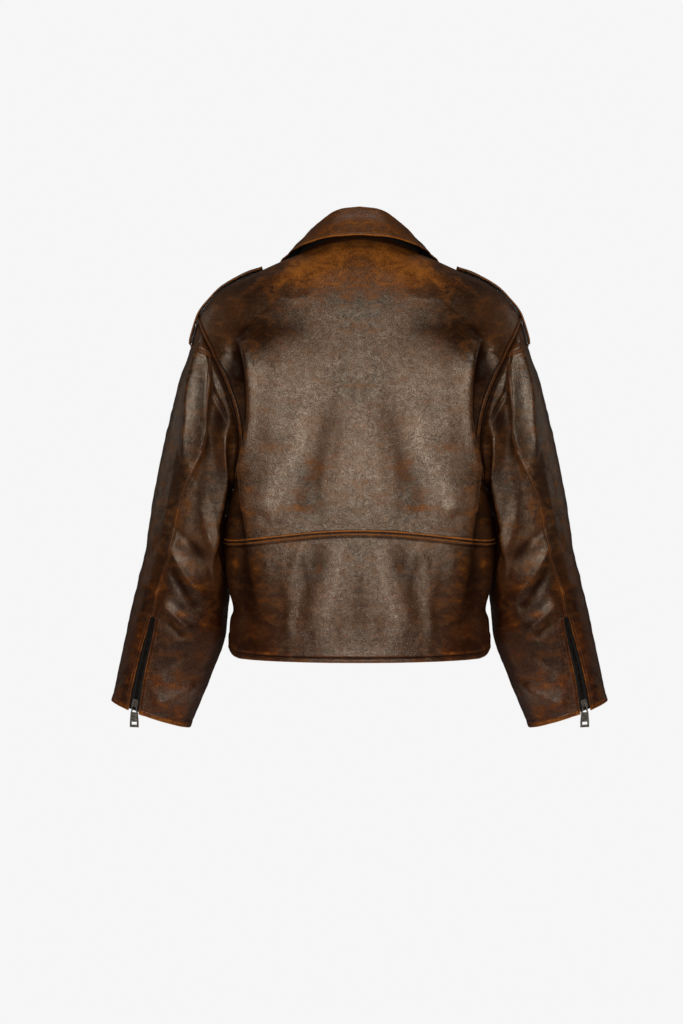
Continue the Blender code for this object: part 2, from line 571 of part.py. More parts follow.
def make_slider(name, seat, along, out, metal):
    """A slider's upper plate with the arched bridge that holds the pull tab, in one piece.
    along runs down the zip and out away from it; seat is the middle of the plate's back."""
    across = np.cross(along, out)
    half_w, half_l, half_b = SLIDER_WIDE / 2, SLIDER_LONG / 2, BRIDGE_LONG / 2
    nose, waist = half_w * SLIDER_NOSE, half_l * 0.55
    plate = cells(
        name,
        np.array([[-nose, nose], [-half_w, half_w], [-half_w, half_w], [-nose, nose]]),
        [-half_l, -waist, waist, half_l],
        [[1], [1], [1]], 0.0, SLIDER_THICK, metal)
    stand(plate, seat, across, along)
    bridge = cells(
        name + "_bridge",
        [-half_b, -half_b + BRIDGE_BAR, half_b - BRIDGE_BAR, half_b],
        [-SLIDER_THICK / 2, BRIDGE_HIGH - BRIDGE_BAR, BRIDGE_HIGH],
        [[1, 0, 1], [1, 1, 1]], -BRIDGE_WIDE / 2, BRIDGE_WIDE / 2, metal)
    stand(bridge, seat + out * SLIDER_THICK, along, out)
    bridge.hide_render = True
    bridge.display_type = "WIRE"
    join = plate.modifiers.new("bridge", "BOOLEAN")
    join.operation = "UNION"
    join.object = bridge


def make_pull(name, pin, up, out, metal):
    """A pull tab hanging from its pin: cross bar, two arms and a plate with a window. The
    piece's own origin is on the pin's axis, which is its first axis."""
    arm, gap = TAB_ARM, TAB_ARM_GAP
    neck, wide, window = TAB_NECK_WIDE / 2, TAB_WIDE / 2, TAB_WIDE / 2 - TAB_RIM
    across = np.array([
        [-gap - arm, -gap, gap, gap + arm],
        [-gap - arm, -gap, gap, gap + arm],
        [-neck * 0.8, -gap, gap, neck * 0.8],
        [-neck, -gap * 1.4, gap * 1.4, neck],
        [-wide, -window, window, wide],
        [-wide, -window, window, wide],
        [-wide, -window, window, wide],
    ])
    lines = [PIN_HALF, -PIN_HALF, TAB_ARM_END * 0.8, TAB_ARM_END, TAB_WINDOW_TOP,
             TAB_WINDOW_END, TAB_END]
    solid = [[1, 1, 1], [1, 0, 1], [1, 0, 1], [1, 1, 1], [1, 0, 1], [1, 1, 1]]
    made = cells(name, across, lines, solid, -TAB_THICK / 2, TAB_THICK / 2, metal)
    stand(made, pin, np.cross(up, out), up)


def make_cuff_zips(tape, metal):
    """Tape, slider and pull tab of each cuff's zip."""
    rings = np.linspace(ZIP_TOP - 0.12, CUFF - 0.04, CUFF_TAPE_ROWS)
    hidden = np.degrees(TAPE_HIDDEN / sleeve_radius(rings))
    seam = read_rows(SLEEVE, rings)[:, 6]
    half = slot_turn(np.maximum(rings, ZIP_TOP)) + hidden
    angle = seam[:, None] + half[:, None] * np.linspace(-1, 1, 5)[None, :]
    points, facing = sleeve_panel(angle, np.repeat(rings[:, None], 5, axis=1), TAPE_DEPTH)

    seam_at = read_rows(SLEEVE, SLIDER_RING)[6]
    foot, out = sleeve_panel(np.array([seam_at]), np.array([SLIDER_RING]), TAPE_DEPTH)
    higher = sleeve_curve(read_rows(SLEEVE, SLIDER_RING - 0.2)[6], SLIDER_RING - 0.2)
    lower = sleeve_curve(read_rows(SLEEVE, SLIDER_RING + 0.1)[6], SLIDER_RING + 0.1)
    along = unit(lower - higher)
    out = unit(out[0] - along * np.dot(out[0], along))
    seat = foot[0] + out * CLEAR
    pin = seat + out * (SLIDER_THICK + PIN_HEIGHT)
    up = np.array([0.0, 0.0, 1.0])
    level_out = unit(out * np.array([1, 1, 0]))
    for side, hand in (("left", 1), ("right", -1)):
        flip = np.array([hand, 1, 1])
        wall(f"cuff_zip_tape_{side}", points, facing, TAPE, tape, hand)
        make_slider(f"cuff_slider_{side}", seat * flip, along * flip, out * flip, metal)
        make_pull(f"cuff_pull_{side}", pin * flip, up, level_out * flip, metal)


def make_front_zip(tape, metal):
    """Tape, slider and pull tab of the front zip, closed up to the neck."""
    down = np.linspace(NECK + 0.02, HEM - 0.05, FRONT_TAPE_ROWS)
    rows = read_rows(FRONT, down)
    turn = np.radians(np.minimum(rows[:, 5], 90))
    half = (FRONT_ZIP_HALF + TAPE_HIDDEN) / rows[:, 2]
    edge = np.arcsin(half * np.sin(turn)) / turn
    columns = edge[:, None] * np.linspace(-1, 1, 5)[None, :]
    points, facing = body_panel(-1, columns, np.repeat(down[:, None], 5, axis=1), TAPE_DEPTH)
    wall("front_zip_tape", points, facing, TAPE, tape)

    foot, out = body_panel(-1, np.array([0.0]), np.array([FRONT_SLIDER_ROW]), TAPE_DEPTH)
    higher = body_curve(-1, 0.0, FRONT_SLIDER_ROW - 0.5)
    lower = body_curve(-1, 0.0, FRONT_SLIDER_ROW + 0.5)
    along, out = unit(lower - higher), out[0]
    seat = foot[0] + out * CLEAR
    make_slider("front_slider", seat, along, out, metal)
    pin = seat + out * (SLIDER_THICK + PIN_HEIGHT)
    tab_end = body_curve(-1, 0.0, FRONT_SLIDER_ROW + 3.2) - np.array([0, TAB_OFF_CHEST, 0])
    up = unit(pin - tab_end)
    make_pull("front_pull", pin, up, np.cross(np.array([1.0, 0, 0]), up), metal)


def main():
    for old in list(bpy.data.objects):
        bpy.data.objects.remove(old, do_unlink=True)
    leather = material("worn_brown_leather", (0.085, 0.042, 0.018), 0.45)
    tape = material("black_zip_tape", (0.012, 0.011, 0.010), 0.85)
    metal = material("gunmetal", (0.22, 0.21, 0.20), 0.35, 1.0)
    make_body(leather)
    make_sleeves(leather)
    make_collar(leather)
    make_epaulettes(leather)
    make_cuff_zips(tape, metal)
    make_front_zip(tape, metal)


main()
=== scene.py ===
"""A worn brown leather biker jacket, standing in the shape it is worn in.

Metres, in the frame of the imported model: +Z up, the back faces +Y, the wearer's left is +X.
Every leather panel is a wall between two grids of points: the outer face, which is the cut's
smooth surface plus its folds, seams and edges, and the same face moved in by its thickness.
"""
import math

import bpy
import numpy as np
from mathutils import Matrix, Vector


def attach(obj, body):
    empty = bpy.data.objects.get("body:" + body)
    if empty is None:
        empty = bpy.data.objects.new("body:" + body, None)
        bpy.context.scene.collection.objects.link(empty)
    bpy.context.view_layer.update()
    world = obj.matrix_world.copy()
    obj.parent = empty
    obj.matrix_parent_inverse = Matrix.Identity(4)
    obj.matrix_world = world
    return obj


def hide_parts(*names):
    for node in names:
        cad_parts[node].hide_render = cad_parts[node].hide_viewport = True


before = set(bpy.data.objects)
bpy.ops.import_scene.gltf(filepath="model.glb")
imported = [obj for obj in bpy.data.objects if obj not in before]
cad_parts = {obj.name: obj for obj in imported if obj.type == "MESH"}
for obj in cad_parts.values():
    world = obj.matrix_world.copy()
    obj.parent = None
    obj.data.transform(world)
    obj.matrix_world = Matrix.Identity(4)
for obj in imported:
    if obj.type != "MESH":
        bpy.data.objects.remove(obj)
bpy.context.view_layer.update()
MM = 0.001


def metres(rows, lengths):
    """Rows of a table, its first columns, as many as lengths says, turned from mm to metres."""
    return tuple(tuple(value * MM if k < lengths else value for k, value in enumerate(row))
                 for row in rows)


# ---------------------------------------------------------------------------------------
# The cut: rows of the body and rings of the left sleeve, as in the solids
# ---------------------------------------------------------------------------------------
NECK, TIP, UNDERARM, WAIST, HEM = 0, 5, 14, 16, 20
BACK = metres((
    # centre z, centre depth, edge x, edge depth, edge z in mm, turn of the curve in degrees
    (21, 88, 85, 0, 8, 90),
    (8, 98, 119.5, 0, -6, 90),
    (-6, 104, 151, 0, -20, 90),
    (-22, 109, 186, 0, -36, 90),
    (-38, 112, 209, 0, -53, 90),
    (-60, 115.5, 228.5, 0, -78, 90),
    (-80, 118, 227.2, 25, -86, 78),
    (-100, 120, 219.5, 47, -106, 68),
    (-130, 122.5, 204.9, 63, -136, 60),
    (-165, 124.5, 186.4, 72, -174.5, 55),
    (-205, 126, 172.2, 72, -215.5, 53),
    (-245, 126, 166.8, 63, -254, 56),
    (-280, 125, 170.5, 47, -285.4, 64),
    (-303, 124.5, 175, 25, -306, 76),
    (-320, 124, 177.5, 0, -313.5, 90),
    (-350, 122.5, 186.8, 0, -355, 90),
    (-378, 122, 192.6, 0, -398.6, 90),
    (-450, 121, 188.5, 0, -455, 90),
    (-493, 120.5, 180, 0, -493, 90),
    (-512, 120, 184.5, 0, -512, 90),
    (-561, 120, 185.8, 0, -560.5, 90),
), 5)
FRONT = metres((        # columns as in BACK
    (-70, 96.5, 85, 0, 8, 90),
    (-80, 101, 119.5, 0, -6, 90),
    (-91, 105, 151, 0, -20, 90),
    (-103, 109, 186, 0, -36, 90),
    (-115, 112, 209, 0, -53, 90),
    (-129, 115, 228.5, 0, -78, 90),
    (-145, 117, 226.7, 25, -86.5, 78),
    (-162, 119, 216, 46, -106, 68),
    (-183, 120.5, 198.5, 61, -137, 60),
    (-206, 121.5, 178.5, 69, -175, 55),
    (-232, 122, 164, 69, -216, 53),
    (-260, 121.5, 160, 61, -254, 56),
    (-288, 120.5, 166, 46, -285.4, 64),
    (-311, 119.5, 173.5, 25, -306, 76),
    (-332, 119, 177.5, 0, -313.5, 90),
    (-362, 117.5, 186.8, 0, -355, 90),
    (-398, 116.5, 192.6, 0, -398.6, 90),
    (-455, 115, 188.5, 0, -455, 90),
    (-493, 114, 180, 0, -493, 90),
    (-512, 113.5, 184.5, 0, -512, 90),
    (-560, 113, 185.8, 0, -560.5, 90),
), 5)
FLATNESS = 0.8           # power of the cosine in depth
SAG = {1: 3.0, -1: 1.8}  # power of the cosine in height, behind and in front
FRONT_ZIP_HALF = 0.008   # half the gap between the fronts, where the zip's tape shows

CUFF = 11                # the last ring
SLEEVE = metres((
    # outer x and z, inner x and z, half depth, centre y in mm, back and front seam in degrees
    (228.5, -78, 177.5, -313.5, 72, 0, 60, -60),
    (244, -132.8, 181.5, -326, 73, -3, 90, -66),
    (257.2, -169.6, 186.2, -340.1, 72, -7, 97, -74),
    (272.1, -225.6, 190.5, -364, 70, -13, 90, -82),
    (285.8, -282.8, 192, -395.5, 68, -20, 80, -90),
    (298.1, -340.3, 190.8, -431, 66, -27, 74, -96),
    (307.5, -398.1, 187.5, -468, 64, -33, 69, -100),
    (319.6, -456.1, 190.5, -505.5, 62, -38, 61.5, -104),
    (331.6, -499.9, 195, -542, 60, -41, 63, -106),
    (340.7, -543.9, 207, -575, 56, -44, 62.5, -108),
    (351.1, -589.9, 224.5, -619, 50, -46, 63.5, -110),
    (360.1, -631.8, 246.5, -670.7, 43, -48, 68.5, -110),
), 6)
ARMHOLE_FADE = 1.2       # rings
CAP_TURN, CAP_END = 60, 1.3     # degrees the cap spans either way, ring the others settle at
CAP_DEPTH, CAP_TAPER = 0.77, 0.9        # rings it goes down, share of them lost at its ends
ZIP_TOP = 7.85           # the ring where the slot of the cuff's zip begins
ZIP_SLOT_TOP, ZIP_SLOT_CUFF, ZIP_SLOT_SPREAD = 0.0036, 0.0082, 0.6
TAPE_DEPTH = 0.003

COLLAR = metres((
    # top of the fold x, y, z, leaf edge x, y, z in mm
    (0, 85, 67, 0, 115, 24),
    (30, 79, 63.5, 43, 108, 21.8),
    (58, 60, 48, 72, 85, 16.8),
    (76.5, 33, 33.5, 89.5, 48, 14),
    (85, 0, 21.5, 105, 0, 9.5),
    (82, -40, 6, 118, -45, -3),
    (62, -78, -21, 112, -92, -42),
    (36, -99, -46, 86, -118, -80),
    (10, -108, -60, 56, -129, -108),
), 6)
COLLAR_OPENING, FOLD_ROUND, LEAF_CROWN = 0.06, 0.0042, 0.0012
COLLAR_SUNK, COLLAR_INSIDE = 0.004, 0.0024     # its sewn edge, behind and below the neckline

STRAP = metres((
    # x, z, half width, drop of the long edges below the middle, in mm
    (242.5, -119, 23.5, 1),
    (242.2, -112, 23.5, 1),
    (239.2, -101, 23.2, 0.6),
    (235.4, -89, 22.8, 0.4),
    (231.2, -76.5, 22.5, 0.6),
    (224.8, -65.2, 22.2, 1),
    (214.8, -52.5, 21.8, 1.6),
    (201, -38, 21.2, 2),
    (186, -27, 20.5, 2.4),
    (171, -18.8, 19.8, 2.8),
    (155.5, -11.8, 19, 3),
    (139.5, -6, 18.2, 3),
), 4)
STRAP_POINT = 0.1        # share of the strap that its rounded end takes

# ---------------------------------------------------------------------------------------
# Folds. A fold is (rise, width on one side, width on the other, its line), the first three
# in mm. The first width lies to the left of the way the line runs. A width below 0 makes
# that side a tent: straight at the crest and easing out at that distance.
# ---------------------------------------------------------------------------------------
SIDE_CREST = (          # the long crest from the armhole down to the hem
    (166, -113), (156, -125), (147.5, -153.5), (142, -190), (139, -230), (141, -270),
    (144, -320), (144, -360), (142, -400), (140, -440), (137, -480), (134, -530))
BACK_FOLDS = (          # lines in x and z mm, the same on both sides of the back
    (15, 13, -108, SIDE_CREST),
    (11, 13, -108, SIDE_CREST[:9]),
    (2.2, 4, 5, ((179, -144), (173.8, -140), (169, -129), (162, -121.5), (156, -124), (151, -133),
                 (146.5, -150))),
    (4.5, 12, -22, ((203, -134), (201, -148), (196, -164))),
    (-11, 17, 8, ((172, -118), (171.8, -132), (170.5, -145), (167, -160), (162, -185))),
    (-5.5, 9, 9, ((163, -125), (160, -145), (157, -167), (153.5, -201.1), (155, -242.3),
                  (159, -300), (164, -350))),
    (1.8, 4, 6, ((196, -150), (188.5, -140), (182, -134))),
    (1.2, 8, 9, ((130, -66), (105, -62), (85, -64), (60, -56))),
    (0.5, 14, 16, ((114.3, -160), (111.8, -229.3), (110.5, -283.8), (120.3, -339), (128.5, -372))),
    (0.7, 12, 15, ((86.6, -170), (81.4, -229.6), (85.3, -277.3), (97.8, -324.9), (106.4, -370))),
    (-0.6, 14, 16, ((64.6, -200), (56.7, -256.9), (59.4, -311.4), (70.3, -375))),
    (0.6, 12, 12, ((29.2, -210), (24, -270.7), (26.6, -325), (32.1, -378))),
    (-0.5, 12, 12, ((0, -240), (0, -300), (0, -374))),
    (1.2, 14, 16, ((33.6, -390), (42.9, -433.7), (59.4, -482), (78, -530))),
    (-0.9, 14, 15, ((60, -390), (68, -435), (84, -480), (90, -530))),
    (-0.9, 13, 13, ((10, -395), (16, -440), (33, -490), (52, -530))),
    (1.8, 10, 12, ((78, -398), (90, -440), (95.2, -496.5), (100, -535))),
    (-3, 12, 14, ((139, -395), (140, -440), (139, -490), (136, -540))),
    (-1.8, 7, 10, ((156, -370), (135, -362), (115, -366))),
)
FRONT_FOLDS = (
    (3.6, 12, 7, ((156, -125), (145, -150), (137, -210), (142, -300))),
    (-5, 8, 9, ((160, -145), (150, -200), (151, -260), (160, -330))),
    (1.5, 13, 14, ((100, -170), (95, -250), (105, -340), (115, -390))),
    (1.3, 12, 12, ((52, -220), (48, -300), (56, -390), (60, -460))),
    (-1.5, 10, 12, ((165, -340), (130, -375), (85, -390), (40, -395))),
    (1.5, 9, 12, ((170, -380), (130, -405), (90, -415))),
    (-1.4, 10, 10, ((76, -430), (85, -480), (85, -540))),
    (1.3, 10, 12, ((115, -430), (120, -480), (118, -535))),
    (1.2, 9, 9, ((30, -440), (33, -490), (30, -540))),
)
SLEEVE_FOLDS = (        # lines in degrees round the arm and ring numbers
    (14, 13, -44, ((44, -0.3), (47, 0.1), (49, 0.55), (53, 0.95), (58, 1.46), (65, 1.92),
                   (70, 2.46), (73, 2.94), (76, 3.4))),
    (-8.5, 26, 7, ((40, 0.05), (56, 0.2), (68, 0.42), (79, 0.75), (89, 1.3), (94, 2.1), (90, 2.85),
                   (80, 3.6))),
    (2.4, 3, 4, ((60, 0.12), (73, 0.28), (82, 0.3), (92, 0.24), (104, 0.2), (112, 0.22))),
    (-2.4, 3, 4, ((70, 0.36), (80, 0.4), (88, 0.34), (97, 0.27), (106, 0.24))),
    (2.6, 4, 4, ((76, 0.5), (85, 0.45), (92, 0.38), (100, 0.31), (110, 0.28))),
    (16, -30, 7, ((100, 0.1), (108, 0.3), (115, 0.5), (122, 0.66), (129, 0.84), (134, 1.1),
                  (138, 1.6), (138, 2.2), (137, 2.8), (135, 3.4), (132, 4), (129, 4.6), (125, 5.2),
                  (120, 5.8))),
    (7, 30, 50, ((120, 5.2), (132, 5.1), (146, 4.95))),
    (5, 6, -17, ((64, 5.6), (74, 5.85), (89, 6.2), (107, 6.45), (122, 6.6))),
    (-3, 7, 7, ((68, 6.2), (87, 6.56), (105, 6.92), (120, 7))),
    (-2.6, 7, 8, ((58, 5.1), (80, 5.15), (104, 5.25), (124, 5.5))),
    (4.2, 6, -13, ((68, 7.2), (76, 7.4), (88, 7.6), (102, 7.8), (112, 7.9))),
    (-2.2, 7, 7, ((80, 7.85), (92, 8.05), (106, 8.3))),
    (1.4, 8, 9, ((60, 3.7), (58, 4.83), (54, 5.81))),
    (-1.8, 9, 9, ((50, 5.6), (40, 6.05), (26, 6.35))),
    (1.8, 9, 9, ((56, 6.6), (40, 7), (20, 7.1))),
    (4, 10, -20, ((90, 10.65), (100, 10.52), (113, 10.32), (132, 9.98), (142, 9.75))),
    (-1.6, 10, 10, ((86, 9.6), (104, 9.1), (122, 8.8))),
    (2.2, 16, 16, ((172, 0.9), (178, 2), (182, 3), (180, 4.2))),
    (3, 8, 9, ((-60, 4.9), (-90, 5.3), (-120, 5.25), (-150, 4.85))),
    (-3.6, 8, 9, ((-55, 5.45), (-90, 5.85), (-125, 5.8), (-150, 5.5))),
    (2.8, 8, 8, ((-62, 6.1), (-95, 6.4), (-130, 6.35))),
    (-3, 8, 8, ((-60, 6.6), (-95, 6.95), (-130, 6.9), (-150, 6.7))),
    (-3, 8, 9, ((-96, 0.6), (-112, 1.2), (-124, 2.2), (-130, 3.3))),
    (2.4, 7, 8, ((-84, 0.7), (-98, 1.5), (-112, 2.6), (-120, 3.6))),
    (1.6, 10, 12, ((-40, 1), (-56, 2.2), (-66, 3.6))),
    (-1.4, 10, 10, ((-20, 5.6), (0, 6.1), (24, 6.4))),
    (1.4, 10, 10, ((-30, 6.3), (-4, 6.8), (20, 7))),
)
SLEEVE_MM = (1.2, 42.0)     # one degree round the sleeve and one ring along it


def read_rows(rows, at):
    """Columns at fractional row numbers: a Catmull-Rom curve through every row, with a
    straight run-out past the first and the last."""
    rows = np.asarray(rows, float)
    rows = np.vstack([2 * rows[:1] - rows[1:2], rows, 2 * rows[-1:] - rows[-2:-1]])
    at = np.asarray(at, float) + 1
    k = np.clip(np.floor(at).astype(int), 1, len(rows) - 3)
    t = (at - k)[..., None]
    before, start, end, after = rows[k - 1], rows[k], rows[k + 1], rows[k + 2]
    curve = 2 * before - 5 * start + 4 * end - after + t * (3 * (start - end) + after - before)
    return start + 0.5 * t * (end - before + t * curve)


def unit(vectors):
    """The same directions at length 1."""
    return vectors / np.maximum(np.linalg.norm(vectors, axis=-1, keepdims=True), 1e-12)


def smooth(low, high, value):
    """0 below low, 1 above high, and 3t^2 - 2t^3 between."""
    t = np.clip((value - low) / (high - low), 0, 1)
    return t * t * (3 - 2 * t)


def bell(distance, width):
    """e to the minus square of distance over width: 1 at 0, next to nothing past 2 widths."""
    return np.exp(-(distance / width) ** 2)


def fold_heights(x, y, folds, scale=(1, 1)):
    """Height of all folds at (x, y), in mm: each is its rise times a fall over the width on
    that side of its line, faded at the line's ends. A round fall is one over cosh of the
    distance, to the power 1.5; a tent is a squared straight slope with a 2 mm round crest.
    scale turns the units of x, y and the lines to mm."""
    x, y = x * scale[0], y * scale[1]
    total = np.zeros(np.shape(x))
    for rise, left, right, line in folds:
        knots = np.array(line, float) * scale
        path = read_rows(knots, np.linspace(0, len(knots) - 1, 12 * (len(knots) - 1) + 1))
        reach = max(3 * left, 3 * right, -left, -right)
        low, high = path.min(0) - reach, path.max(0) + reach
        near = (x > low[0]) & (x < high[0]) & (y > low[1]) & (y < high[1])
        px, py = x[near], y[near]
        away = np.hypot(px[:, None] - path[:, 0], py[:, None] - path[:, 1])
        best = np.argmin(away, axis=1)
        along = unit(np.gradient(path, axis=0))[best]
        side = along[:, 0] * (py - path[best, 1]) - along[:, 1] * (px - path[best, 0])
        width = np.where(side > 0, left, right)
        ends = np.clip(np.minimum(best, len(path) - 1 - best) / (0.22 * len(path)), 0, 1)
        fade = smooth(0, 1, 0.25 + 0.75 * ends) * smooth(-0.3, 0.6, ends)
        away = away[np.arange(len(best)), best]
        rounded_fall = 1 / np.cosh(np.minimum(1.55 * away / np.abs(width), 30)) ** 1.5
        tent = np.clip(1 - (np.hypot(away, 2.0) - 2.0) / np.abs(width), 0, 1) ** 2
        total[near] += rise * np.where(width < 0, tent, rounded_fall) * fade
    return total


def ripples(x, y, z, size, seed):
    """Smooth uneven heights between about -1 and 1: five sine waves across random ways,
    each bent by the one before it. size is the usual distance between crests."""
    rng = np.random.default_rng(seed)
    total, bend = 0.0, 0.0
    for _ in range(5):
        way = rng.normal(size=3)
        way = way / np.linalg.norm(way) * 2 * math.pi / size * rng.uniform(0.7, 1.4)
        bend = np.sin(x * way[0] + y * way[1] + z * way[2] + rng.uniform(0, 6.3) + 1.3 * bend)
        total = total + bend
    return total / 3.2


# ---------------------------------------------------------------------------------------
# Surfaces of the body, the sleeve and the collar
# ---------------------------------------------------------------------------------------
def edge_columns(rows, down):
    """Edge x, depth and z of a body row, read span by span so that the corners stay."""
    spans = ((NECK, TIP), (TIP, UNDERARM), (UNDERARM, HEM))
    parts = [read_rows(np.array(rows)[a:b + 1, 2:5], down - a) for a, b in spans]
    above, below = (down < TIP)[..., None], (down > UNDERARM)[..., None]
    return np.where(above, parts[0], np.where(below, parts[2], parts[1]))


def body_curve(side, across, down):
    """Body surface. Each row goes from its centre point to its edge point as a sine across,
    a flattened cosine in depth and a later cosine in height."""
    rows, sag = (BACK if side > 0 else FRONT), SAG[side]
    across, down = np.broadcast_arrays(np.asarray(across, float), np.asarray(down, float))
    table = read_rows(rows, down)
    at_edge = np.abs(across)[..., None] ** 6
    table[..., 2:5] += (edge_columns(rows, down) - table[..., 2:5]) * at_edge
    centre_z, centre_y, edge_x, edge_y, edge_z, turn = np.moveaxis(table, -1, 0)
    turn = np.radians(np.minimum(turn, 90))
    angle = across * turn

    def level(a, power):
        return np.sign(np.cos(a)) * np.abs(np.cos(a)) ** power

    reach = (level(angle, FLATNESS) - level(turn, FLATNESS)) / (1 - level(turn, FLATNESS))
    drop = (1 - level(angle, sag)) / (1 - level(turn, sag))
    x = edge_x * np.sin(angle) / np.sin(turn)
    y = side * (edge_y + (centre_y - edge_y) * reach)
    z = centre_z + (edge_z - centre_z) * drop
    return np.stack([x, y, z], axis=-1)


def sleeve_curve(angle, ring):
    """Left sleeve's surface: an ellipse round each ring, with the armhole's own curve faded
    in over the first of them."""
    angle, ring = np.broadcast_arrays(np.asarray(angle, float), np.asarray(ring, float))
    table = read_rows(SLEEVE, ring)
    round_turn = np.radians(angle)

    def ellipse(ox, oz, ix, iz, d, cy):
        x = (ox + ix) / 2 + (ox - ix) / 2 * np.cos(round_turn)
        z = (oz + iz) / 2 + (oz - iz) / 2 * np.cos(round_turn)
        return np.stack([x, cy + d * np.sin(round_turn), z], axis=-1)

    turned = (angle + 180) % 360 - 180
    down = TIP + (UNDERARM - TIP) * np.abs(turned) / 180
    rim = np.where((turned >= 0)[..., None], body_curve(1, 1.0, down), body_curve(-1, 1.0, down))
    fade = np.clip(1 - ring / ARMHOLE_FADE, 0, None)[..., None] ** 2
    start = ellipse(*SLEEVE[0][:6])
    return ellipse(*np.moveaxis(table[..., :6], -1, 0)) + (rim - start) * fade


def normals(surface, a, b, step_a, step_b, facing):
    """Unit normals of surface(a, b) from small steps both ways."""
    along_a = surface(a + step_a, b) - surface(a - step_a, b)
    along_b = surface(a, b + step_b) - surface(a, b - step_b)
    return unit(facing * np.cross(along_a, along_b))


def body_normal(side, across, down):
    """Outward unit normals of the body."""
    return normals(lambda a, b: body_curve(side, a, b), across, down, 0.004, 0.02, side)


def sleeve_normal(angle, ring):
    """Outward unit normals of the left sleeve."""
    return normals(sleeve_curve, angle, ring, 0.8, 0.02, -1)


def armhole_normal(angle):
    """Halfway between body and sleeve at the armhole seam, in the side plane at its top and
    bottom."""
    turned = (angle + 180) % 360 - 180
    down = TIP + (UNDERARM - TIP) * np.abs(turned) / 180
    back, front = body_normal(1, 0.999, down), body_normal(-1, 0.999, down)
    halfway = np.where((turned >= 0)[..., None], back, front) + sleeve_normal(angle, 0.02)
    halfway[..., 1] *= np.clip(3 * np.abs(np.sin(np.radians(turned))), 0, 1)
    return unit(halfway)


def cap_edge(angle):
    """Ring number where the sleeve cap ends: deep on top of the arm, shallow at its ends."""
    return CAP_DEPTH * (1 - CAP_TAPER * np.clip(np.abs(angle) / CAP_TURN, 0, 1) ** 2)


def slot_turn(ring):
    """Half the cuff zip's slot, as degrees round the sleeve: a power curve from its top."""
    seam = read_rows(SLEEVE, ring)[..., 6]
    step = sleeve_curve(seam + 1, ring) - sleeve_curve(seam - 1, ring)
    radius = np.linalg.norm(step, axis=-1) / math.radians(2)
    share = np.clip((ring - ZIP_TOP) / (CUFF - ZIP_TOP), 0, 1)
    half = ZIP_SLOT_TOP + (ZIP_SLOT_CUFF - ZIP_SLOT_TOP) * share ** ZIP_SLOT_SPREAD
    opened = smooth(ZIP_TOP - 0.02, ZIP_TOP + 0.06, ring)
    return np.degrees(half / radius) * opened


def collar_face(columns, section):
    """Collar's outer face: a curve through the neck seam, the stand, the rolled top and the
    leaf's edge, read along the section for every column round the neck."""
    rows = read_rows(COLLAR, np.abs(columns))
    even = np.ones_like(columns)
    mirror = np.stack([np.where(columns < 0, -1, 1), even, even], axis=-1)
    top, edge = rows[:, 0:3] * mirror, rows[:, 3:6] * mirror
    round_neck = np.abs(columns) / 4
    at_back = body_curve(1, np.clip(round_neck, 0, 1), NECK)
    at_front = body_curve(-1, np.clip(2 - round_neck, COLLAR_OPENING, 1), NECK)
    seam = np.where((round_neck <= 1)[:, None], at_back, at_front) * mirror
    out = unit((edge - top) * np.array([1, 1, 0]))
    seam[:, 2] -= COLLAR_SUNK
    seam -= out * COLLAR_INSIDE
    rise = np.array([0, 0, 1.0])
    knots = np.stack([
        seam,
        seam * 0.5 + top * 0.5 - out * 0.0015,
        top - out * FOLD_ROUND - rise * 0.006,
        top,
        top + out * FOLD_ROUND - rise * 0.0055,
        top * 0.5 + edge * 0.5 + (out + rise) * LEAF_CROWN,
        edge,
    ])
    flat = read_rows(knots.reshape(len(knots), -1), section)
    return flat.reshape(len(section), len(columns), 3)


# ---------------------------------------------------------------------------------------
# Materials
# ---------------------------------------------------------------------------------------
def linear(code):
    """An sRGB hex colour as linear red, green, blue and 1."""
    parts = [int(code[i:i + 2], 16) / 255 for i in (1, 3, 5)]
    return [c / 12.92 if c <= 0.04045 else ((c + 0.055) / 1.055) ** 2.4 for c in parts] + [1.0]


def plug(tree, node, inputs):
    """Sets a node's inputs, by name or number, or links them where a socket is given."""
    for key, value in inputs.items():
        if isinstance(value, bpy.types.NodeSocket):
            tree.links.new(value, node.inputs[key])
        else:
            node.inputs[key].default_value = value


def add(tree, kind, inputs=(), out=0, **settings):
    """Adds one shader node with its settings, plugs its inputs, listed in their order or in
    a dictionary, and gives its output that is named or numbered out."""
    node = tree.nodes.new("ShaderNode" + kind)
    for name, value in settings.items():
        setattr(node, name, value)
    plug(tree, node, inputs if isinstance(inputs, dict) else dict(enumerate(inputs)))
    return node.outputs[out] if node.outputs else node


SOFT = {"interpolation_type": "SMOOTHSTEP"}     # of a ramp: value, low, high, start, end
COLOUR = {"data_type": "RGBA", "out": 2}        # of a mix: 0 share, 6 first, 7 second colour
TIMES = {"operation": "MULTIPLY"}


def blank(name):
    """A new material, its node tree, its Principled shader and its Object coordinates."""
    made = bpy.data.materials.new(name)
    made.use_nodes = True
    tree = made.node_tree
    return made, tree, tree.nodes["Principled BSDF"], add(tree, "TexCoord", out="Object")


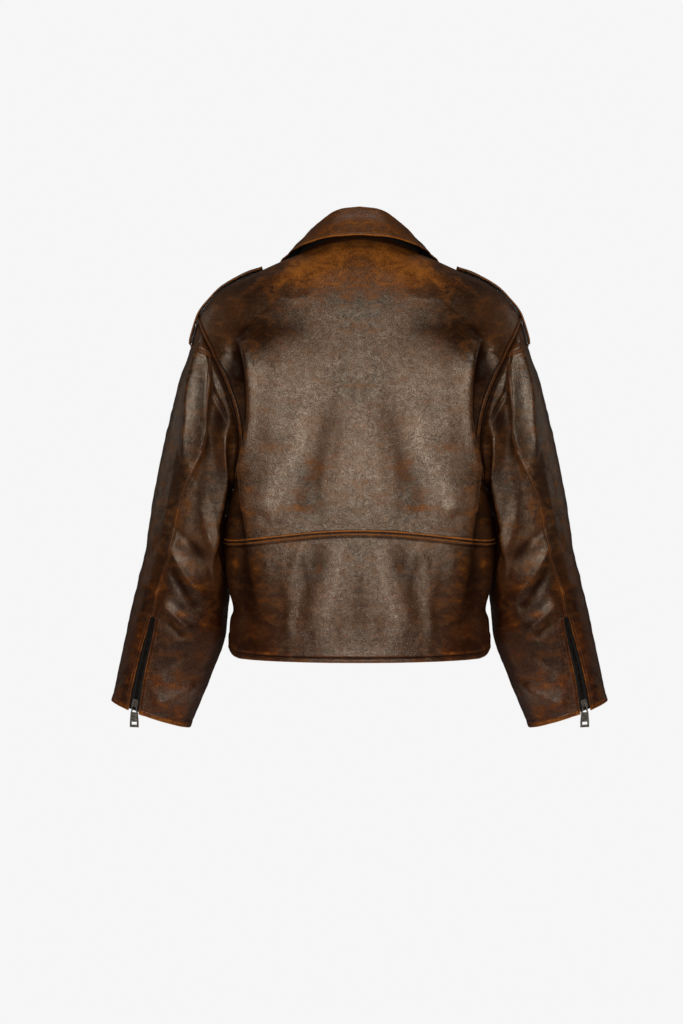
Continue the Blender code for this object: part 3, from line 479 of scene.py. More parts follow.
def worn_leather():
    """Pull-up cowhide: waxed dark brown, rubbed to a red tan on ridges and edges.
    Large patches show where the hide took the dye unevenly, small ones where it was worn;
    cells are the grain, and the finest noise is the dry bloom that greys the highlights.
    Attributes say how much a place is rubbed, and how much painted shade it takes, darker and with
    less sheen, or below 0 how much painted highlight, with more sheen. The lower half of the
    jacket is redder than the upper one."""
    made, tree, shader, place = blank("worn_pull_up_cowhide")
    x, y, z = add(tree, "SeparateXYZ", [place]).node.outputs
    same = add(tree, "Math", [x], operation="ABSOLUTE")     # left and right from one hide
    hide = add(tree, "CombineXYZ", [same, y, z])
    streaks = add(tree, "CombineXYZ", [same, y, add(tree, "Math", [z, 1.9], **TIMES)])
    rub, painted_light = (add(tree, "Attribute", out="Fac", attribute_name=name)
                 for name in ("rub", "painted_light"))
    broad, patch, speck, scuff, creases = [
        add(tree, "TexNoise", {"Vector": where, "Scale": scale, "Detail": detail,
                               "Roughness": rough, "Distortion": bend})
        for where, scale, detail, rough, bend in (
            (hide, 9.0, 3.0, 0.55, 0.4),        # 110 mm: light and dark parts of the hide
            (streaks, 44.0, 5.0, 0.6, 0.6),     # 23 mm: patches of uneven dye
            (place, 600.0, 2.0, 0.6, 0.0),      # 1.7 mm: bloom, as coarse as it needs to show
            (streaks, 120.0, 3.0, 0.7, 0.5),    # 8 mm: scuffs
            (place, 150.0, 2.0, 0.6, 0.3))]     # 7 mm: fine creases
    grain = add(tree, "TexVoronoi", {"Vector": place, "Scale": 560.0, "Randomness": 1.0},
                feature="DISTANCE_TO_EDGE")     # 1.8 mm: the grain's cells
    uneven = add(tree, "Math", [patch, 1.4, speck], operation="MULTIPLY_ADD")
    worn = add(tree, "Math", [rub, add(tree, "Math", [uneven, -1.22])])
    lower_half = add(tree, "MapRange", [z, -0.38, -0.56], **SOFT)
    dark, light, tan = (
        add(tree, "Mix", {0: lower_half, 6: linear(upper), 7: linear(lower)}, **COLOUR)
        for upper, lower in (("#321c0e", "#34170b"), ("#54321a", "#4b2611"),
                             ("#7f491c", "#6c3615")))
    scuffed = add(tree, "Math", [
        add(tree, "MapRange", span, **SOFT)
        for span in ((scuff, 0.6, 0.7), (broad, 0.34, 0.62, 0.1, 0.6))], **TIMES)
    base = dark
    for span, colour in (
            ((broad, 0.36, 0.66), light), ((patch, 0.44, 0.84), linear("#6f4520")),
            ((worn, 0.0, 0.72), tan), ((worn, 0.42, 0.9), linear("#ad6829")),
            ((worn, 0.95, 1.4), linear("#c88a4e")), (scuffed, linear("#823c15")),
            # painted shade: the colour goes towards near black where the shade attribute is high
            ((painted_light, 0.1, 1.0, 0.0, 0.9), linear("#1e0d07")),
            ((grain, 0.0, 0.1, 0.45, 0.0), linear("#1b0f08"))):
        share = add(tree, "MapRange", span, **SOFT) if isinstance(span, tuple) else span
        base = add(tree, "Mix", {0: share, 6: base, 7: colour}, **COLOUR)
    # painted shade takes sheen away; below 0, painted highlight adds sheen
    sheen = add(tree, "MapRange", [painted_light, 0.0, 0.75, 0.66, 0.06], **SOFT)
    for span in ((worn, 0.0, 0.7, 1.0, 0.26), (painted_light, -0.5, 0.0, 1.5, 1.0),
                 (speck, 0.36, 0.64, 0.58, 1.26), (creases, 0.36, 0.62, 0.8, 1.14)):
        sheen = add(tree, "Math", [sheen, add(tree, "MapRange", span, **SOFT)], **TIMES)
    cells = add(tree, "MapRange", [grain, 0.0, 0.22], **SOFT)
    relief = {}
    for height, distance in ((creases, 0.00018), (cells, 0.00008), (speck, 0.00027)):
        relief = {"Normal": add(tree, "Bump", {"Height": height, "Strength": 1.0,
                                               "Distance": distance, **relief})}
    plug(tree, shader, {
        "Base Color": base, "Specular IOR Level": sheen, "IOR": 1.6,
        "Roughness": add(tree, "MapRange", [patch, 0.3, 0.75, 0.29, 0.38], **SOFT),
        "Specular Tint": linear("#ffeed8"), **relief})
    return made


def lining():
    """Black-brown twill lining: dull, with faint slanting lines 0.4 mm apart."""
    made, tree, shader, place = blank("black_twill_lining")
    weave = add(tree, "TexWave", {"Vector": place, "Scale": 900.0, "Distortion": 0.3},
                out="Fac", bands_direction="DIAGONAL")
    plug(tree, shader, {"Roughness": 0.8, "Base Color": add(tree, "Mix", {
        0: weave, 6: linear("#0d0a08"), 7: linear("#191310")}, **COLOUR)})
    return made


def woven_tape():
    """Black woven zip tape: dull, with a faint rib every 0.75 mm across the slot."""
    made, tree, shader, place = blank("black_woven_zip_tape")
    rib = add(tree, "TexWave", {"Vector": place, "Scale": 420.0, "Distortion": 0.6},
              out="Fac", bands_direction="Z")
    plug(tree, shader, {
        "Roughness": 0.85, "Base Color": add(tree, "Mix", {
            0: rib, 6: linear("#0b0a09"), 7: linear("#1d1916")}, **COLOUR),
        "Normal": add(tree, "Bump", {"Height": rib, "Strength": 0.5, "Distance": 0.0003})})
    return made


def plated(name, dull, bright):
    """Plated metal, dull where the plating holds and bright in spots of 3 mm where it is
    rubbed; dull and bright are the two greys."""
    made, tree, shader, place = blank(name)
    spots = add(tree, "TexNoise", {"Vector": place, "Scale": 380.0, "Detail": 4.0})
    plug(tree, shader, {
        "Base Color": add(tree, "Mix", {0: add(tree, "MapRange", [spots, 0.4, 0.7], **SOFT),
                                        6: linear(dull), 7: linear(bright)}, **COLOUR),
        "Metallic": 0.85,
        "Roughness": add(tree, "MapRange", [spots, 0.3, 0.7, 0.36, 0.55], **SOFT)})
    return made


def waxed_thread():
    """Waxed polyester thread: red tan, lighter in stretches of 17 mm where the wax wore."""
    made, tree, shader, place = blank("waxed_tan_thread")
    spots = add(tree, "TexNoise", {"Vector": place, "Scale": 60.0, "Detail": 2.0})
    plug(tree, shader, {"Roughness": 0.6, "Base Color": add(tree, "Mix", {
        0: add(tree, "MapRange", [spots, 0.35, 0.65], **SOFT),
        6: linear("#4d2c16"), 7: linear("#7d4a22")}, **COLOUR)})
    return made


# ---------------------------------------------------------------------------------------
# Walls of leather
# ---------------------------------------------------------------------------------------
LEATHER, COLLAR_THICK, STRAP_THICK = 0.0018, 0.0024, 0.0026
SEAM_GAP = 0.0001        # between the edges of two panels sewn together
FINE = (0, .15, .4, .8, 1.3, 2.0, 2.8, 3.6, 4.4, 5.2, 6.0, 6.8, 7.6, 8.5, 9.6, 11.0)
TURNED_IN = 14           # grid lines of leather turned in behind an edge, before the lining
STITCH_PITCH, STITCH_LONG, THREAD = 0.0034, 0.0025, 0.00042


def travelled(points):
    """Length covered up to each point of a line, or of every row of a net."""
    gaps = np.linalg.norm(np.diff(points, axis=-2), axis=-1)
    return np.concatenate([np.zeros_like(gaps[..., :1]), np.cumsum(gaps, axis=-1)], axis=-1)


def lines(length, pitch, end=True):
    """Positions 0 to 1 along a length: close ones, FINE mm from its start and, if it has an
    edge there, from its end, and even ones a pitch apart between."""
    low = np.array(FINE) * MM
    high = length - (low if end else low[:1])[::-1]
    count = max(int((high[0] - low[-1]) / pitch), 2)
    return np.concatenate([low, np.linspace(low[-1], high[0], count + 1)[1:-1], high]) / length


def net(place, first, last, width, row_pitch, column_pitch, keep=()):
    """Share and row of every point of a panel's grid. place gives the points at (share, row).
    The rows run from first to last, even along the middle, and take in those of keep; along
    each row, about a width long, the columns are even."""
    dense = np.linspace(first, last, 401)
    run = travelled(place(np.full_like(dense, 0.5), dense))
    rows = np.interp(lines(run[-1], row_pitch) * run[-1], run, dense)
    rows = np.unique(np.round(np.concatenate([rows, keep]), 6))
    dense = np.linspace(0, 1, 201)
    run = travelled(place(*np.meshgrid(dense, rows)))
    run /= run[:, -1:]
    columns = lines(width, column_pitch)
    shares = np.array([np.interp(columns, covered, dense) for covered in run])
    return shares, np.repeat(rows[:, None], shares.shape[1], axis=1)


def insets(points):
    """Distance in mm of every grid point from the left, right, start and end edge."""
    across, along = travelled(points) / MM, travelled(points.swapaxes(0, 1)).T / MM
    return across, across[:, -1:] - across, along, along[-1:] - along


def rounded(distance, size, drop):
    """Height lost at an edge that is turned or cut and rubbed round."""
    return -drop * (1 - np.sqrt(1 - np.clip(1 - distance / size, 0, 1) ** 2))


def band(distance, width, rise, slope=1.6):
    """A layer folded under along an edge: full height over its width, then a slope."""
    return rise * (1 - smooth(width - slope / 2, width + slope, distance))


def groove(distance, at, depth, half=0.9):
    """A line pulled in by its stitches."""
    return -depth * bell(distance - at, half)


def softened(values, passes):
    """Values averaged with their neighbours again and again."""
    for _ in range(passes):
        padded = np.pad(values, 1, mode="edge")
        values = (padded[:-2, 1:-1] + padded[2:, 1:-1] + padded[1:-1, :-2] + padded[1:-1, 2:]
                  + 2 * values) / 6
    return values


def add_mesh(name, points, faces, finishes, shown=None, marks=None):
    """A mesh object with all its quads turned outward, smooth shaded."""
    a, b, c, d = (points[faces[:, k]] for k in range(4))
    if (a * (np.cross(b, c) + np.cross(c, d))).sum() < 0:
        faces = faces[:, ::-1]
    mesh = bpy.data.meshes.new(name)
    mesh.vertices.add(len(points))
    mesh.vertices.foreach_set("co", points.ravel())
    mesh.loops.add(faces.size)
    mesh.loops.foreach_set("vertex_index", faces.ravel())
    mesh.polygons.add(len(faces))
    mesh.polygons.foreach_set("loop_start", np.arange(0, faces.size, 4))
    mesh.polygons.foreach_set("use_smooth", np.ones(len(faces), bool))
    for finish in finishes:
        mesh.materials.append(finish)
    if shown is not None:
        mesh.polygons.foreach_set("material_index", np.asarray(shown, np.int32))
    for key, values in (marks or {}).items():
        mesh.attributes.new(key, "FLOAT", "POINT").data.foreach_set("value", values)
    mesh.update(calc_edges=True)
    made = bpy.data.objects.new(name, mesh)
    bpy.context.scene.collection.objects.link(made)
    return made


def wall(name, outer, facing, thickness, rub, painted_light, hand):
    """A closed wall: the outer grid, the same grid moved in, and a strip round the rim.
    Its inner face is lining, but for the turned-in leather nearest the rim."""
    inner = outer - facing * thickness
    rows, columns = outer.shape[:2]
    count = rows * columns
    points = np.concatenate([outer.reshape(-1, 3), inner.reshape(-1, 3)]) * (hand, 1, 1)
    at = np.arange(count).reshape(rows, columns)
    quads = np.stack([at[:-1, :-1], at[1:, :-1], at[1:, 1:], at[:-1, 1:]], -1)
    ring = np.concatenate([at[0, :], at[1:, -1], at[-1, -2::-1], at[-2:0:-1, 0]])
    after = np.roll(ring, -1)
    rim = np.stack([ring, after, after + count, ring + count], axis=-1)
    flat = quads.reshape(-1, 4)
    faces = np.concatenate([flat, flat[:, ::-1] + count, rim])
    lined = np.zeros(quads.shape[:2], int)
    lined[TURNED_IN:-TURNED_IN, TURNED_IN:-TURNED_IN] = 1
    shown = np.concatenate([np.zeros(len(flat), int), lined.ravel(), np.zeros(len(rim), int)])
    marks = {"rub": np.concatenate([rub.ravel(), rub.ravel() * 0.3]),
             # painted shade on the inner face: dark and without sheen
             "painted_light": np.concatenate([painted_light.ravel(), 0.8 + 0 * painted_light.ravel()])}
    return add_mesh("leather_" + name, points, faces, (LEATHER_FINISH, LINING_FINISH),
                    shown, marks)


def line_inside(points, facing, edge, distance, skip):
    """Points and normals along a line at one distance inside an edge of a grid, without its
    first and last skip, in mm."""
    if edge in ("start", "end"):
        points, facing = points.swapaxes(0, 1), facing.swapaxes(0, 1)
    if edge in ("right", "end"):
        points, facing = points[:, ::-1], facing[:, ::-1]
    run = travelled(points) / MM
    i = np.arange(len(run))
    k = np.clip((run < distance).sum(axis=1), 1, run.shape[1] - 1)
    t = ((distance - run[i, k - 1]) / (run[i, k] - run[i, k - 1]))[:, None]
    line = points[i, k - 1] * (1 - t) + points[i, k] * t
    up = unit(facing[i, k - 1] * (1 - t) + facing[i, k] * t)
    run = travelled(line) / MM
    inside = (run >= skip[0]) & (run <= run[-1] - skip[1])
    return line[inside], up[inside]


def set_along(name, shape, finish, seams, hand, pitch, spare=0.0, beside=0.0):
    """Copies of a closed rod with six sides along lines of (points, normals), a pitch apart
    and ending a spare length before the line does, beside it on the left and right by turns."""
    sides, top = 6, len(shape) - 6
    faces = [(k + j, k + (j + 1) % sides, k + sides + (j + 1) % sides, k + sides + j)
             for k in range(0, top, sides) for j in range(sides)]
    faces += [(3, 2, 1, 0), (5, 4, 3, 0), (top, top + 1, top + 2, top + 3),
              (top, top + 3, top + 4, top + 5)]
    faces = np.array(faces)[:, ::hand]
    points, listed, count = [], [], 0
    for line, up in seams:
        run = travelled(line)
        at = np.arange(pitch, run[-1] - spare, pitch)

        def read(values, where):
            return np.stack([np.interp(where, run, values[:, k]) for k in range(3)], axis=-1)
        along = unit(read(line, at + MM) - read(line, at - MM))
        normal = read(up, at)
        normal = unit(normal - along * (normal * along).sum(-1, keepdims=True))
        across = np.cross(normal, along)
        shift = np.where(np.arange(len(at)) % 2, beside, -beside)[:, None]
        centre = read(line, at) + across * shift
        placed = shape @ np.stack([along, across, normal], axis=1) + centre[:, None, :]
        points.append(placed.reshape(-1, 3) * (hand, 1, 1))
        starts = count + np.arange(len(at))[:, None, None] * len(shape)
        listed.append((faces[None] + starts).reshape(-1, 4))
        count += len(at) * len(shape)
    return add_mesh(name, np.concatenate(points), np.concatenate(listed), (finish,))


def stitches(name, seams, hand):
    """Thread stitches along lines of (points, normals): each is a short six-sided rod with
    narrowed ends, half sunk in the leather."""
    turn = np.arange(6) * 2 * math.pi / 6
    shape = np.array([
        (u * STITCH_LONG / 2, math.cos(a) * r * THREAD, (math.sin(a) * r + lift) * THREAD)
        for u, r, lift in ((-1.0, 0.35, -0.5), (-0.62, 1.0, 0.15), (0.62, 1.0, 0.15),
                           (1.0, 0.35, -0.5)) for a in turn])
    return set_along(name, shape, THREAD_FINISH, seams, hand, STITCH_PITCH, STITCH_PITCH / 2)


# ---------------------------------------------------------------------------------------
# The panels
# ---------------------------------------------------------------------------------------
def blend_rim(facing, shared, distance, reach=7.0):
    """Normals that turn into the seam's shared ones within reach millimetres of it."""
    share = (1 - smooth(0.5, reach, distance))[..., None]
    return unit(facing * (1 - share) + shared * share)


def back_off(points, edges):
    """Moves the named edges of a grid half a seam gap back from the seam."""
    points = points.copy()
    for edge in edges:
        grid = points if edge in ("start", "end") else points.swapaxes(0, 1)
        at, inner = (0, 1) if edge in ("start", "left") else (-1, -2)
        grid[at] += unit(grid[inner] - grid[at]) * SEAM_GAP / 2
    return points


def sew(names, points, facing, marks, seams, joined=(), facing_in=None, thickness=LEATHER,
        edge=(1.1, 0.75)):
    """Builds a panel and its stitching for every (name, hand). marks are the height in mm by which
    points move out along facing, the wear and the painted shade; ridges and worn edges are
    marked rub, and hollows get painted shade. seams are (edge, distance in mm, skip in mm, rows),
    joined the edges that meet another panel, facing_in the way the wall is thick and edge the
    size and drop of its rounding."""
    height, wear, dark = marks
    height = height + rounded(np.min(insets(points), axis=0), *edge)
    raised = height - softened(height, 40)
    rub = wear + 0.06 * np.clip(raised / 1.2, 0, 1.4)
    # painted shade in hollows: points below their smoothed surroundings are darker and duller
    painted_light = np.clip(dark + 0.3 * np.clip((-raised - 0.5) / 2.0, 0, 1.2), -0.4, 1)
    outer = back_off(points + facing * (height * MM)[..., None], joined)
    inward = facing if facing_in is None else facing_in
    runs = [line_inside(outer[rows], facing[rows], side, distance, skip)
            for side, distance, skip, rows in seams]
    return {name: (wall(name, outer, inward, thickness, rub, painted_light, hand),
                   stitches(name + "_stitching", runs, hand)) for name, hand in names}


# Lines of stitches, in mm from the edge they follow
SEAM_LINE, ARM_LINE, SLEEVE_LINE, CUFF_LINE = 1.8, 7.0, 5.2, 7.6
WAIST_LINE, BELOW_WAIST_LINE, BACK_HEM_LINE, HEM_EDGE_LINE = 4.4, 1.6, 6.6, 2.2
FRONT_HEM_LINE, ZIP_LINE, ZIP_EDGE_LINE = 8.6, 10.0, 2.0
COLLAR_LINE, STRAP_LINE = 5.0, 4.0
EVERY = slice(None)
CORNER = 0.02            # radius of the hem's corner


BACK_RUBS = (           # x, z, size across, size down in mm, strength; on both sides
    (30, -2, 60, 22, 0.62), (85, -20, 40, 18, 0.52), (50, -40, 45, 18, 0.36),
    (60, -60, 45, 14, 0.16), (123, -43, 40, 16, 0.3), (146, -265, 5, 40, 0.25),
    (166, -366, 20, 10, 0.22), (140, -359, 16, 8, 0.22), (30, -295, 18, 14, 0.22),
    (82, -345, 18, 12, 0.3), (173, -428, 10, 14, 0.5), (140, -437, 8, 16, 0.36),
    (136, -480, 12, 18, 0.34), (150, -518, 10, 12, 0.34), (122, -552, 12, 10, 0.34),
    (55, -434, 6, 8, 0.45), (0, -36, 36, 20, 0.36), (135, -270, 18, 6, 0.24),
    (110, -262, 24, 6, 0.18), (150, -345, 16, 8, 0.22), (120, -330, 26, 8, 0.18),
    (90, -352, 26, 6, 0.2), (45, -345, 26, 8, 0.2), (0, -98, 30, 8, 0.22),
    (62, -285, 12, 30, 0.22), (70, -310, 16, 16, 0.18), (50, -402, 26, 6, 0.2),
)
BACK_SHADES = (         # columns as in BACK_RUBS: painted shade above 0, painted highlight below
    (198, -330, 16, 90, 1), (200, -440, 22, 80, 0.55), (150, -470, 22, 85, 0.4),
    (150, -545, 40, 22, 0.35), (78, -432, 14, 30, 0.14), (182, -70, 30, 16, 0.35),
    (160, -104, 30, 14, 0.35), (95, -104, 30, 12, 0.25), (60, -420, 16, 18, 0.16),
    (150, -450, 22, 60, 0.3), (0, -480, 120, 90, 0.1), (176, -158, 12, 26, 0.7),
    (0, -480, 170, 60, 0.06), (0, -300, 22, 60, -0.28), (130, -122, 26, 26, 0.34),
    (86, -114, 50, 36, 0.24), (0, -160, 120, 50, 0.14), (210, -90, 20, 20, -0.2),
)
BACK_SHADOWS = (        # bands written as folds are: painted shade above 0, painted highlight below
    (0.4, 19, 22, ((30, -180), (40, -220), (48, -256), (56, -286.5), (66, -308.6), (75, -330.8),
                   (72, -355), (66, -382))),
    (0.2, 12, 12, ((113, -135), (115, -165), (117, -204), (119, -247), (123, -280))),
    (0.16, 10, 10, ((4, -170), (10, -200), (16, -230), (19, -260))),
    (-0.46, 12, 12, ((81, -200), (77, -230), (79, -264), (93, -290), (101, -310), (109, -335),
                     (115, -355), (114, -380))),
    (-0.46, 10, 10, ((27, -250), (28, -286.5), (29, -308.6), (34, -330.8), (37, -353),
                     (30, -378))),
    (-0.9, 4, 6, ((146, -142), (140, -160), (136, -185), (135, -220), (135, -250), (136, -280),
                  (140, -305))),
    (0.8, 14, 3, ((152, -138), (148, -160), (145, -187.3), (145, -228.4), (146, -256.1),
                  (148, -283.5), (153, -311.3))),
    (-0.4, 6, 8, ((125, -64), (105, -62), (85, -64), (60, -56))),
    (0.26, 12, 12, ((0, -425), (1, -455), (3, -485), (6, -545))),
    (0.22, 7, 7, ((20, -490), (26, -515), (28, -540))),
    (0.12, 10, 12, ((56, -393), (60, -420), (62, -441.6), (69, -468), (78, -490))),
    (0.1, 13, 15, ((90, -393), (100, -429), (112, -463.7), (128, -498.4), (142, -524.3))),
    (-0.48, 9, 9, ((26, -396), (29, -420), (31, -441.6), (38, -470), (48, -495), (60, -520))),
    (-0.4, 7, 7, ((93.5, -400), (93.5, -426), (92.5, -452.6), (87, -486), (78, -516), (72, -544))),
    (0.2, 6, 7, ((79, -400), (76, -426), (70, -456), (70, -486))),
    (0.26, 8, 9, ((108, -400), (106, -440), (101, -486), (94, -525))),
    (0.16, 6, 6, ((48, -393), (49, -415), (52, -440))),
    (-0.3, 9, 9, ((121, -405), (119, -430), (116, -456))),
)
FRONT_RUBS = (          # columns as in BACK_RUBS
    (100, -140, 50, 30, 0.25), (70, -330, 30, 30, 0.25), (140, -440, 20, 30, 0.3),
)
FILL_DOWN = (           # z in mm, share of the filling beside the underarm
    (-470, 0), (-420, 0.1), (-380, 0.26), (-360, 0.36), (-340, 0.5), (-320, 0.7), (-300, 0.98),
    (-280, 0.86), (-260, 0.66), (-240, 0.45), (-220, 0.22), (-200, 0.07), (-170, 0),
)


def blobs(x, z, table):
    """Soft spots of a table of (x, z, size across, size down, strength)."""
    return sum(strength * bell(x - at_x, wide) * bell(z - at_z, long)
               for at_x, at_z, wide, long, strength in table)


def body_height(side, points, d_arm):
    """Folds and small waves of a body panel, in millimetres, still at the armhole. The
    hollow beside the underarm is filled: 13.5 mm at the main fold, by a power towards the
    middle and a bell towards the armhole, times the shares of FILL_DOWN at each height."""
    x, y, z = np.abs(points[..., 0]), points[..., 1], points[..., 2]
    folds = fold_heights(x / MM, z / MM, BACK_FOLDS if side > 0 else FRONT_FOLDS)
    if side > 0:
        level, share = np.array(FILL_DOWN).T
        fill = np.clip((x - 0.06) / 0.083, 0, 1) ** 1.6 * np.interp(z / MM, level, share)
        folds += 13.5 * fill * bell(np.maximum(x - 0.143, 0), 0.011)
    waves = sum(size * ripples(x, y, z, wave, seed)
                for size, wave, seed in ((0.45, 0.075, 3), (0.18, 0.028, 4), (0.07, 0.012, 5)))
    return (folds + waves) * smooth(1.0, 13.0, d_arm)


def eased(reading, across, down):
    """A reading of the back's surface with the bend at the underarm's row eased: the mean of
    five readings within 0.9 of a row, fading to the plain one at the edges."""
    share = smooth(0.03, 0.22, 1 - np.abs(across)) * smooth(3.0, 5.0, down)
    share = (share * (1 - smooth(WAIST - 1.5, WAIST - 0.6, down)))[..., None]
    mean = sum(reading(1, across, np.clip(down + way, NECK, HEM))
               for way in (-0.9, -0.45, 0, 0.45, 0.9)) / 5
    plain = reading(1, across, down)
    return plain + (mean - plain) * share


def round_hem(points, down):
    """Rounds the hem's corner at the side seam, as seen from behind, by lifting the rows
    there; the lift fades out up to the row above the hem's."""
    wide = np.abs(points[:, [0, -1], 0]).max(axis=1, keepdims=True)
    inside = np.clip(CORNER - (wide - np.abs(points[..., 0])), 0, CORNER)
    lift = CORNER - np.sqrt(CORNER ** 2 - inside ** 2)
    points = points.copy()
    points[..., 2] += lift * smooth(HEM - 1, HEM, down)
    return points


def beside_arm(down):
    """Whether a row is beside the armhole (1) or not (0), and its angle round the armhole."""
    angle = (down - TIP) / (UNDERARM - TIP) * 180
    return smooth(-4, 2, angle) * (1 - smooth(178, 184, angle)), np.clip(angle, 0, 180)


def make_back():
    """Back above the waist seam, and the panel below it down to the hem. The seam sags a
    little in the middle, by 0.12 of a row."""
    def place(share, row):
        return body_curve(1, 2 * share - 1, row)

    made = {}
    for name, first, last, keep in (("back_upper", NECK, WAIST, (TIP, UNDERARM)),
                                    ("back_lower", WAIST, HEM, ())):
        shares, row = net(place, first, last, 0.5, 0.0028, 0.0027, keep)
        across = 2 * shares - 1
        down = row + 0.12 * (1 - across ** 2) * bell(row - WAIST, 0.9)
        facing = unit(eased(body_normal, across, down))
        points = round_hem(eased(body_curve, across, down), down)
        left, right, start, end = insets(points)
        sides = np.minimum(left, right)
        x, y, z = np.abs(points[..., 0]), points[..., 1], points[..., 2]
        pucker = ripples(x, y, z, 0.016, 8)
        wear = blobs(x / MM, z / MM, BACK_RUBS)
        # painted shade and painted highlight on the back, in spots and in bands along the folds
        dark = blobs(x / MM, z / MM, BACK_SHADES) + fold_heights(x / MM, z / MM, BACK_SHADOWS)
        if name == "back_upper":
            at_arm, angle = beside_arm(down)
            height = body_height(1, points, sides)
            height += (band(sides, 7.5, 2.2) * smooth(-0.6, 2.4, sides)
                       + groove(sides, 6.6, 1.2, 1.0)) * at_arm
            height += groove(end, 2.2, 1.0, 0.8) + 0.9 * bell(end - WAIST_LINE, 1.4)
            height += 0.3 * bell(end, 1.4)
            height += pucker * (0.35 * bell(sides, 12) + 0.3 * bell(end, 12))
            wear += (0.5 * bell(sides, 2.0) + 0.3 * bell(sides - 4.0, 1.8)) * at_arm
            wear += 1.05 * bell(end - 4.2, 1.1) + 0.3 * bell(end, 0.8)
            # painted shade: cleared off the waist seam's ridge, laid in its groove and along the
            # armhole's stitch line
            dark = dark * (1 - bell(end - 4.2, 1.3))
            dark += 0.8 * bell(end - 2.2, 0.8) + 0.8 * bell(sides - 7.4, 1.3) * at_arm
            shared = armhole_normal(angle) * np.stack([np.sign(across), *np.ones((2, *x.shape))],
                                                      axis=-1)
            inward = np.where((at_arm > 0.5)[..., None], blend_rim(facing, shared, sides), facing)
            armhole = (row[:, 0] >= TIP) & (row[:, 0] <= UNDERARM)
            seams = [(edge, distance, (0, 0), armhole) for edge in ("left", "right")
                     for distance in (SEAM_LINE, ARM_LINE)] + [("end", WAIST_LINE, (6, 6), EVERY)]
            joined = ("left", "right", "end")
        else:
            height = body_height(1, points, 99 + 0 * sides) + 1.5 * bell(start, 2.6)
            height += band(end, 12.5, 1.2) + groove(end, BACK_HEM_LINE, 1.2, 1.4)
            height += groove(end, 2.0, 0.4)
            height += 0.35 * pucker * (bell(start, 12) + bell(end, 14))
            wear += 0.95 * bell(start, 1.6)
            wear += 0.75 * bell(end, 1.3) + 0.25 * bell(end - 11.0, 1.8)
            # painted shadow under the lapped waist seam and in the hem's groove; painted highlight
            # on the hem band's two ridges
            dark += 0.5 * bell(start - 4.5, 1.6) + 0.9 * bell(end - 6.8, 1.8)
            dark -= 0.35 * bell(end - 3.6, 1.5) + 0.35 * bell(end - 10, 2)
            inward = facing
            seams = [("start", BELOW_WAIST_LINE, (4, 4), EVERY),
                     ("end", BACK_HEM_LINE, (4, 4), EVERY), ("end", HEM_EDGE_LINE, (4, 4), EVERY)]
            joined = ("start", "left", "right")
        made.update(sew([(name, 1)], points, facing, (height, wear, dark), seams, joined, inward))
    return made


def make_fronts():
    """The two plain fronts, from the shoulder down to the hem, either side of the zip."""
    def zip_share(row):
        table = read_rows(FRONT, row)
        turn = np.radians(np.minimum(table[..., 5], 90))
        return np.arcsin(FRONT_ZIP_HALF * np.sin(turn) / table[..., 2]) / turn

    def place(share, row):
        first = zip_share(row)
        return body_curve(-1, first + (1 - first) * share, row)

    shares, down = net(place, NECK, HEM, 0.25, 0.003, 0.0034, (TIP, UNDERARM))
    first = zip_share(down)
    facing = body_normal(-1, first + (1 - first) * shares, down)
    points = round_hem(place(shares, down), down)
    zip_edge, side, _, end = insets(points)
    at_arm, angle = beside_arm(down)
    x, y, z = np.abs(points[..., 0]), points[..., 1], points[..., 2]
    height = body_height(-1, points, np.where(down < UNDERARM + 1, side, 99))
    height += (band(side, 8.0, 1.0) * smooth(-0.6, 2.4, side)
               + groove(side, ARM_LINE, 0.9)) * at_arm
    height += band(zip_edge, 11.0, 0.8) + groove(zip_edge, ZIP_LINE, 0.7)
    height += groove(zip_edge, ZIP_EDGE_LINE, 0.4)
    height += band(end, 9.5, 0.8) + groove(end, FRONT_HEM_LINE, 0.8)
    height += 0.3 * ripples(x, y, z, 0.016, 9) * (bell(side, 12) + bell(zip_edge, 14)
                                                  + bell(end, 14))
    wear = 0.7 * bell(side, 1.5) * at_arm + 0.6 * bell(zip_edge, 1.3) + 0.55 * bell(end, 1.1)
    wear += blobs(x / MM, z / MM, FRONT_RUBS)
    # painted shade along the stitch grooves at the armhole and beside the zip
    dark = 0.6 * (bell(side - ARM_LINE, 0.9) * at_arm + bell(zip_edge - ZIP_LINE, 0.9))
    inward = np.where((at_arm > 0.5)[..., None],
                      blend_rim(facing, armhole_normal(-angle), side), facing)
    armhole = (down[:, 0] >= TIP) & (down[:, 0] <= UNDERARM)
    seams = (("right", SEAM_LINE, (0, 0), armhole), ("right", ARM_LINE, (0, 0), armhole),
             ("left", ZIP_EDGE_LINE, (10, 4), EVERY), ("left", ZIP_LINE, (10, 4), EVERY),
             ("end", FRONT_HEM_LINE, (4, 4), EVERY))
    return sew([("front_left", 1), ("front_right", -1)], points, facing, (height, wear, dark),
               seams, ("right",), inward)


SLEEVE_RUBS = (         # angle, ring, size round in degrees, size along in rings, strength
    # the first row lightens the outer side of the upper arm: partly wear, partly painted light
    # from the side
    (30, 4.2, 18, 1.8, 0.22), (20, 7.6, 16, 1.4, 0.18), (44, 3.3, 6, 0.3, 0.2),
    (78, 4.7, 8, 0.3, 0.3), (98, 3.1, 6, 0.4, 0.3), (92, 4.2, 7, 0.4, 0.26),
    (86, 5.75, 12, 0.16, 0.45), (98, 7.45, 12, 0.16, 0.45), (60, 7, 10, 0.3, 0.38),
    (50, 8.6, 9, 0.5, 0.42), (52, 9.9, 9, 0.4, 0.42), (108, 6.3, 10, 0.2, 0.28),
    (110, 9.9, 14, 0.25, 0.3), (130, 7.6, 10, 0.4, 0.25), (118, 10.7, 30, 0.35, 0.3),
    (84, 10, 12, 0.5, 0.25), (-80, 5.4, 20, 0.3, 0.35), (-100, 8, 16, 0.6, 0.25),
    (-50, 2.4, 16, 0.8, 0.2), (0, 5.6, 16, 0.5, 0.3),
)
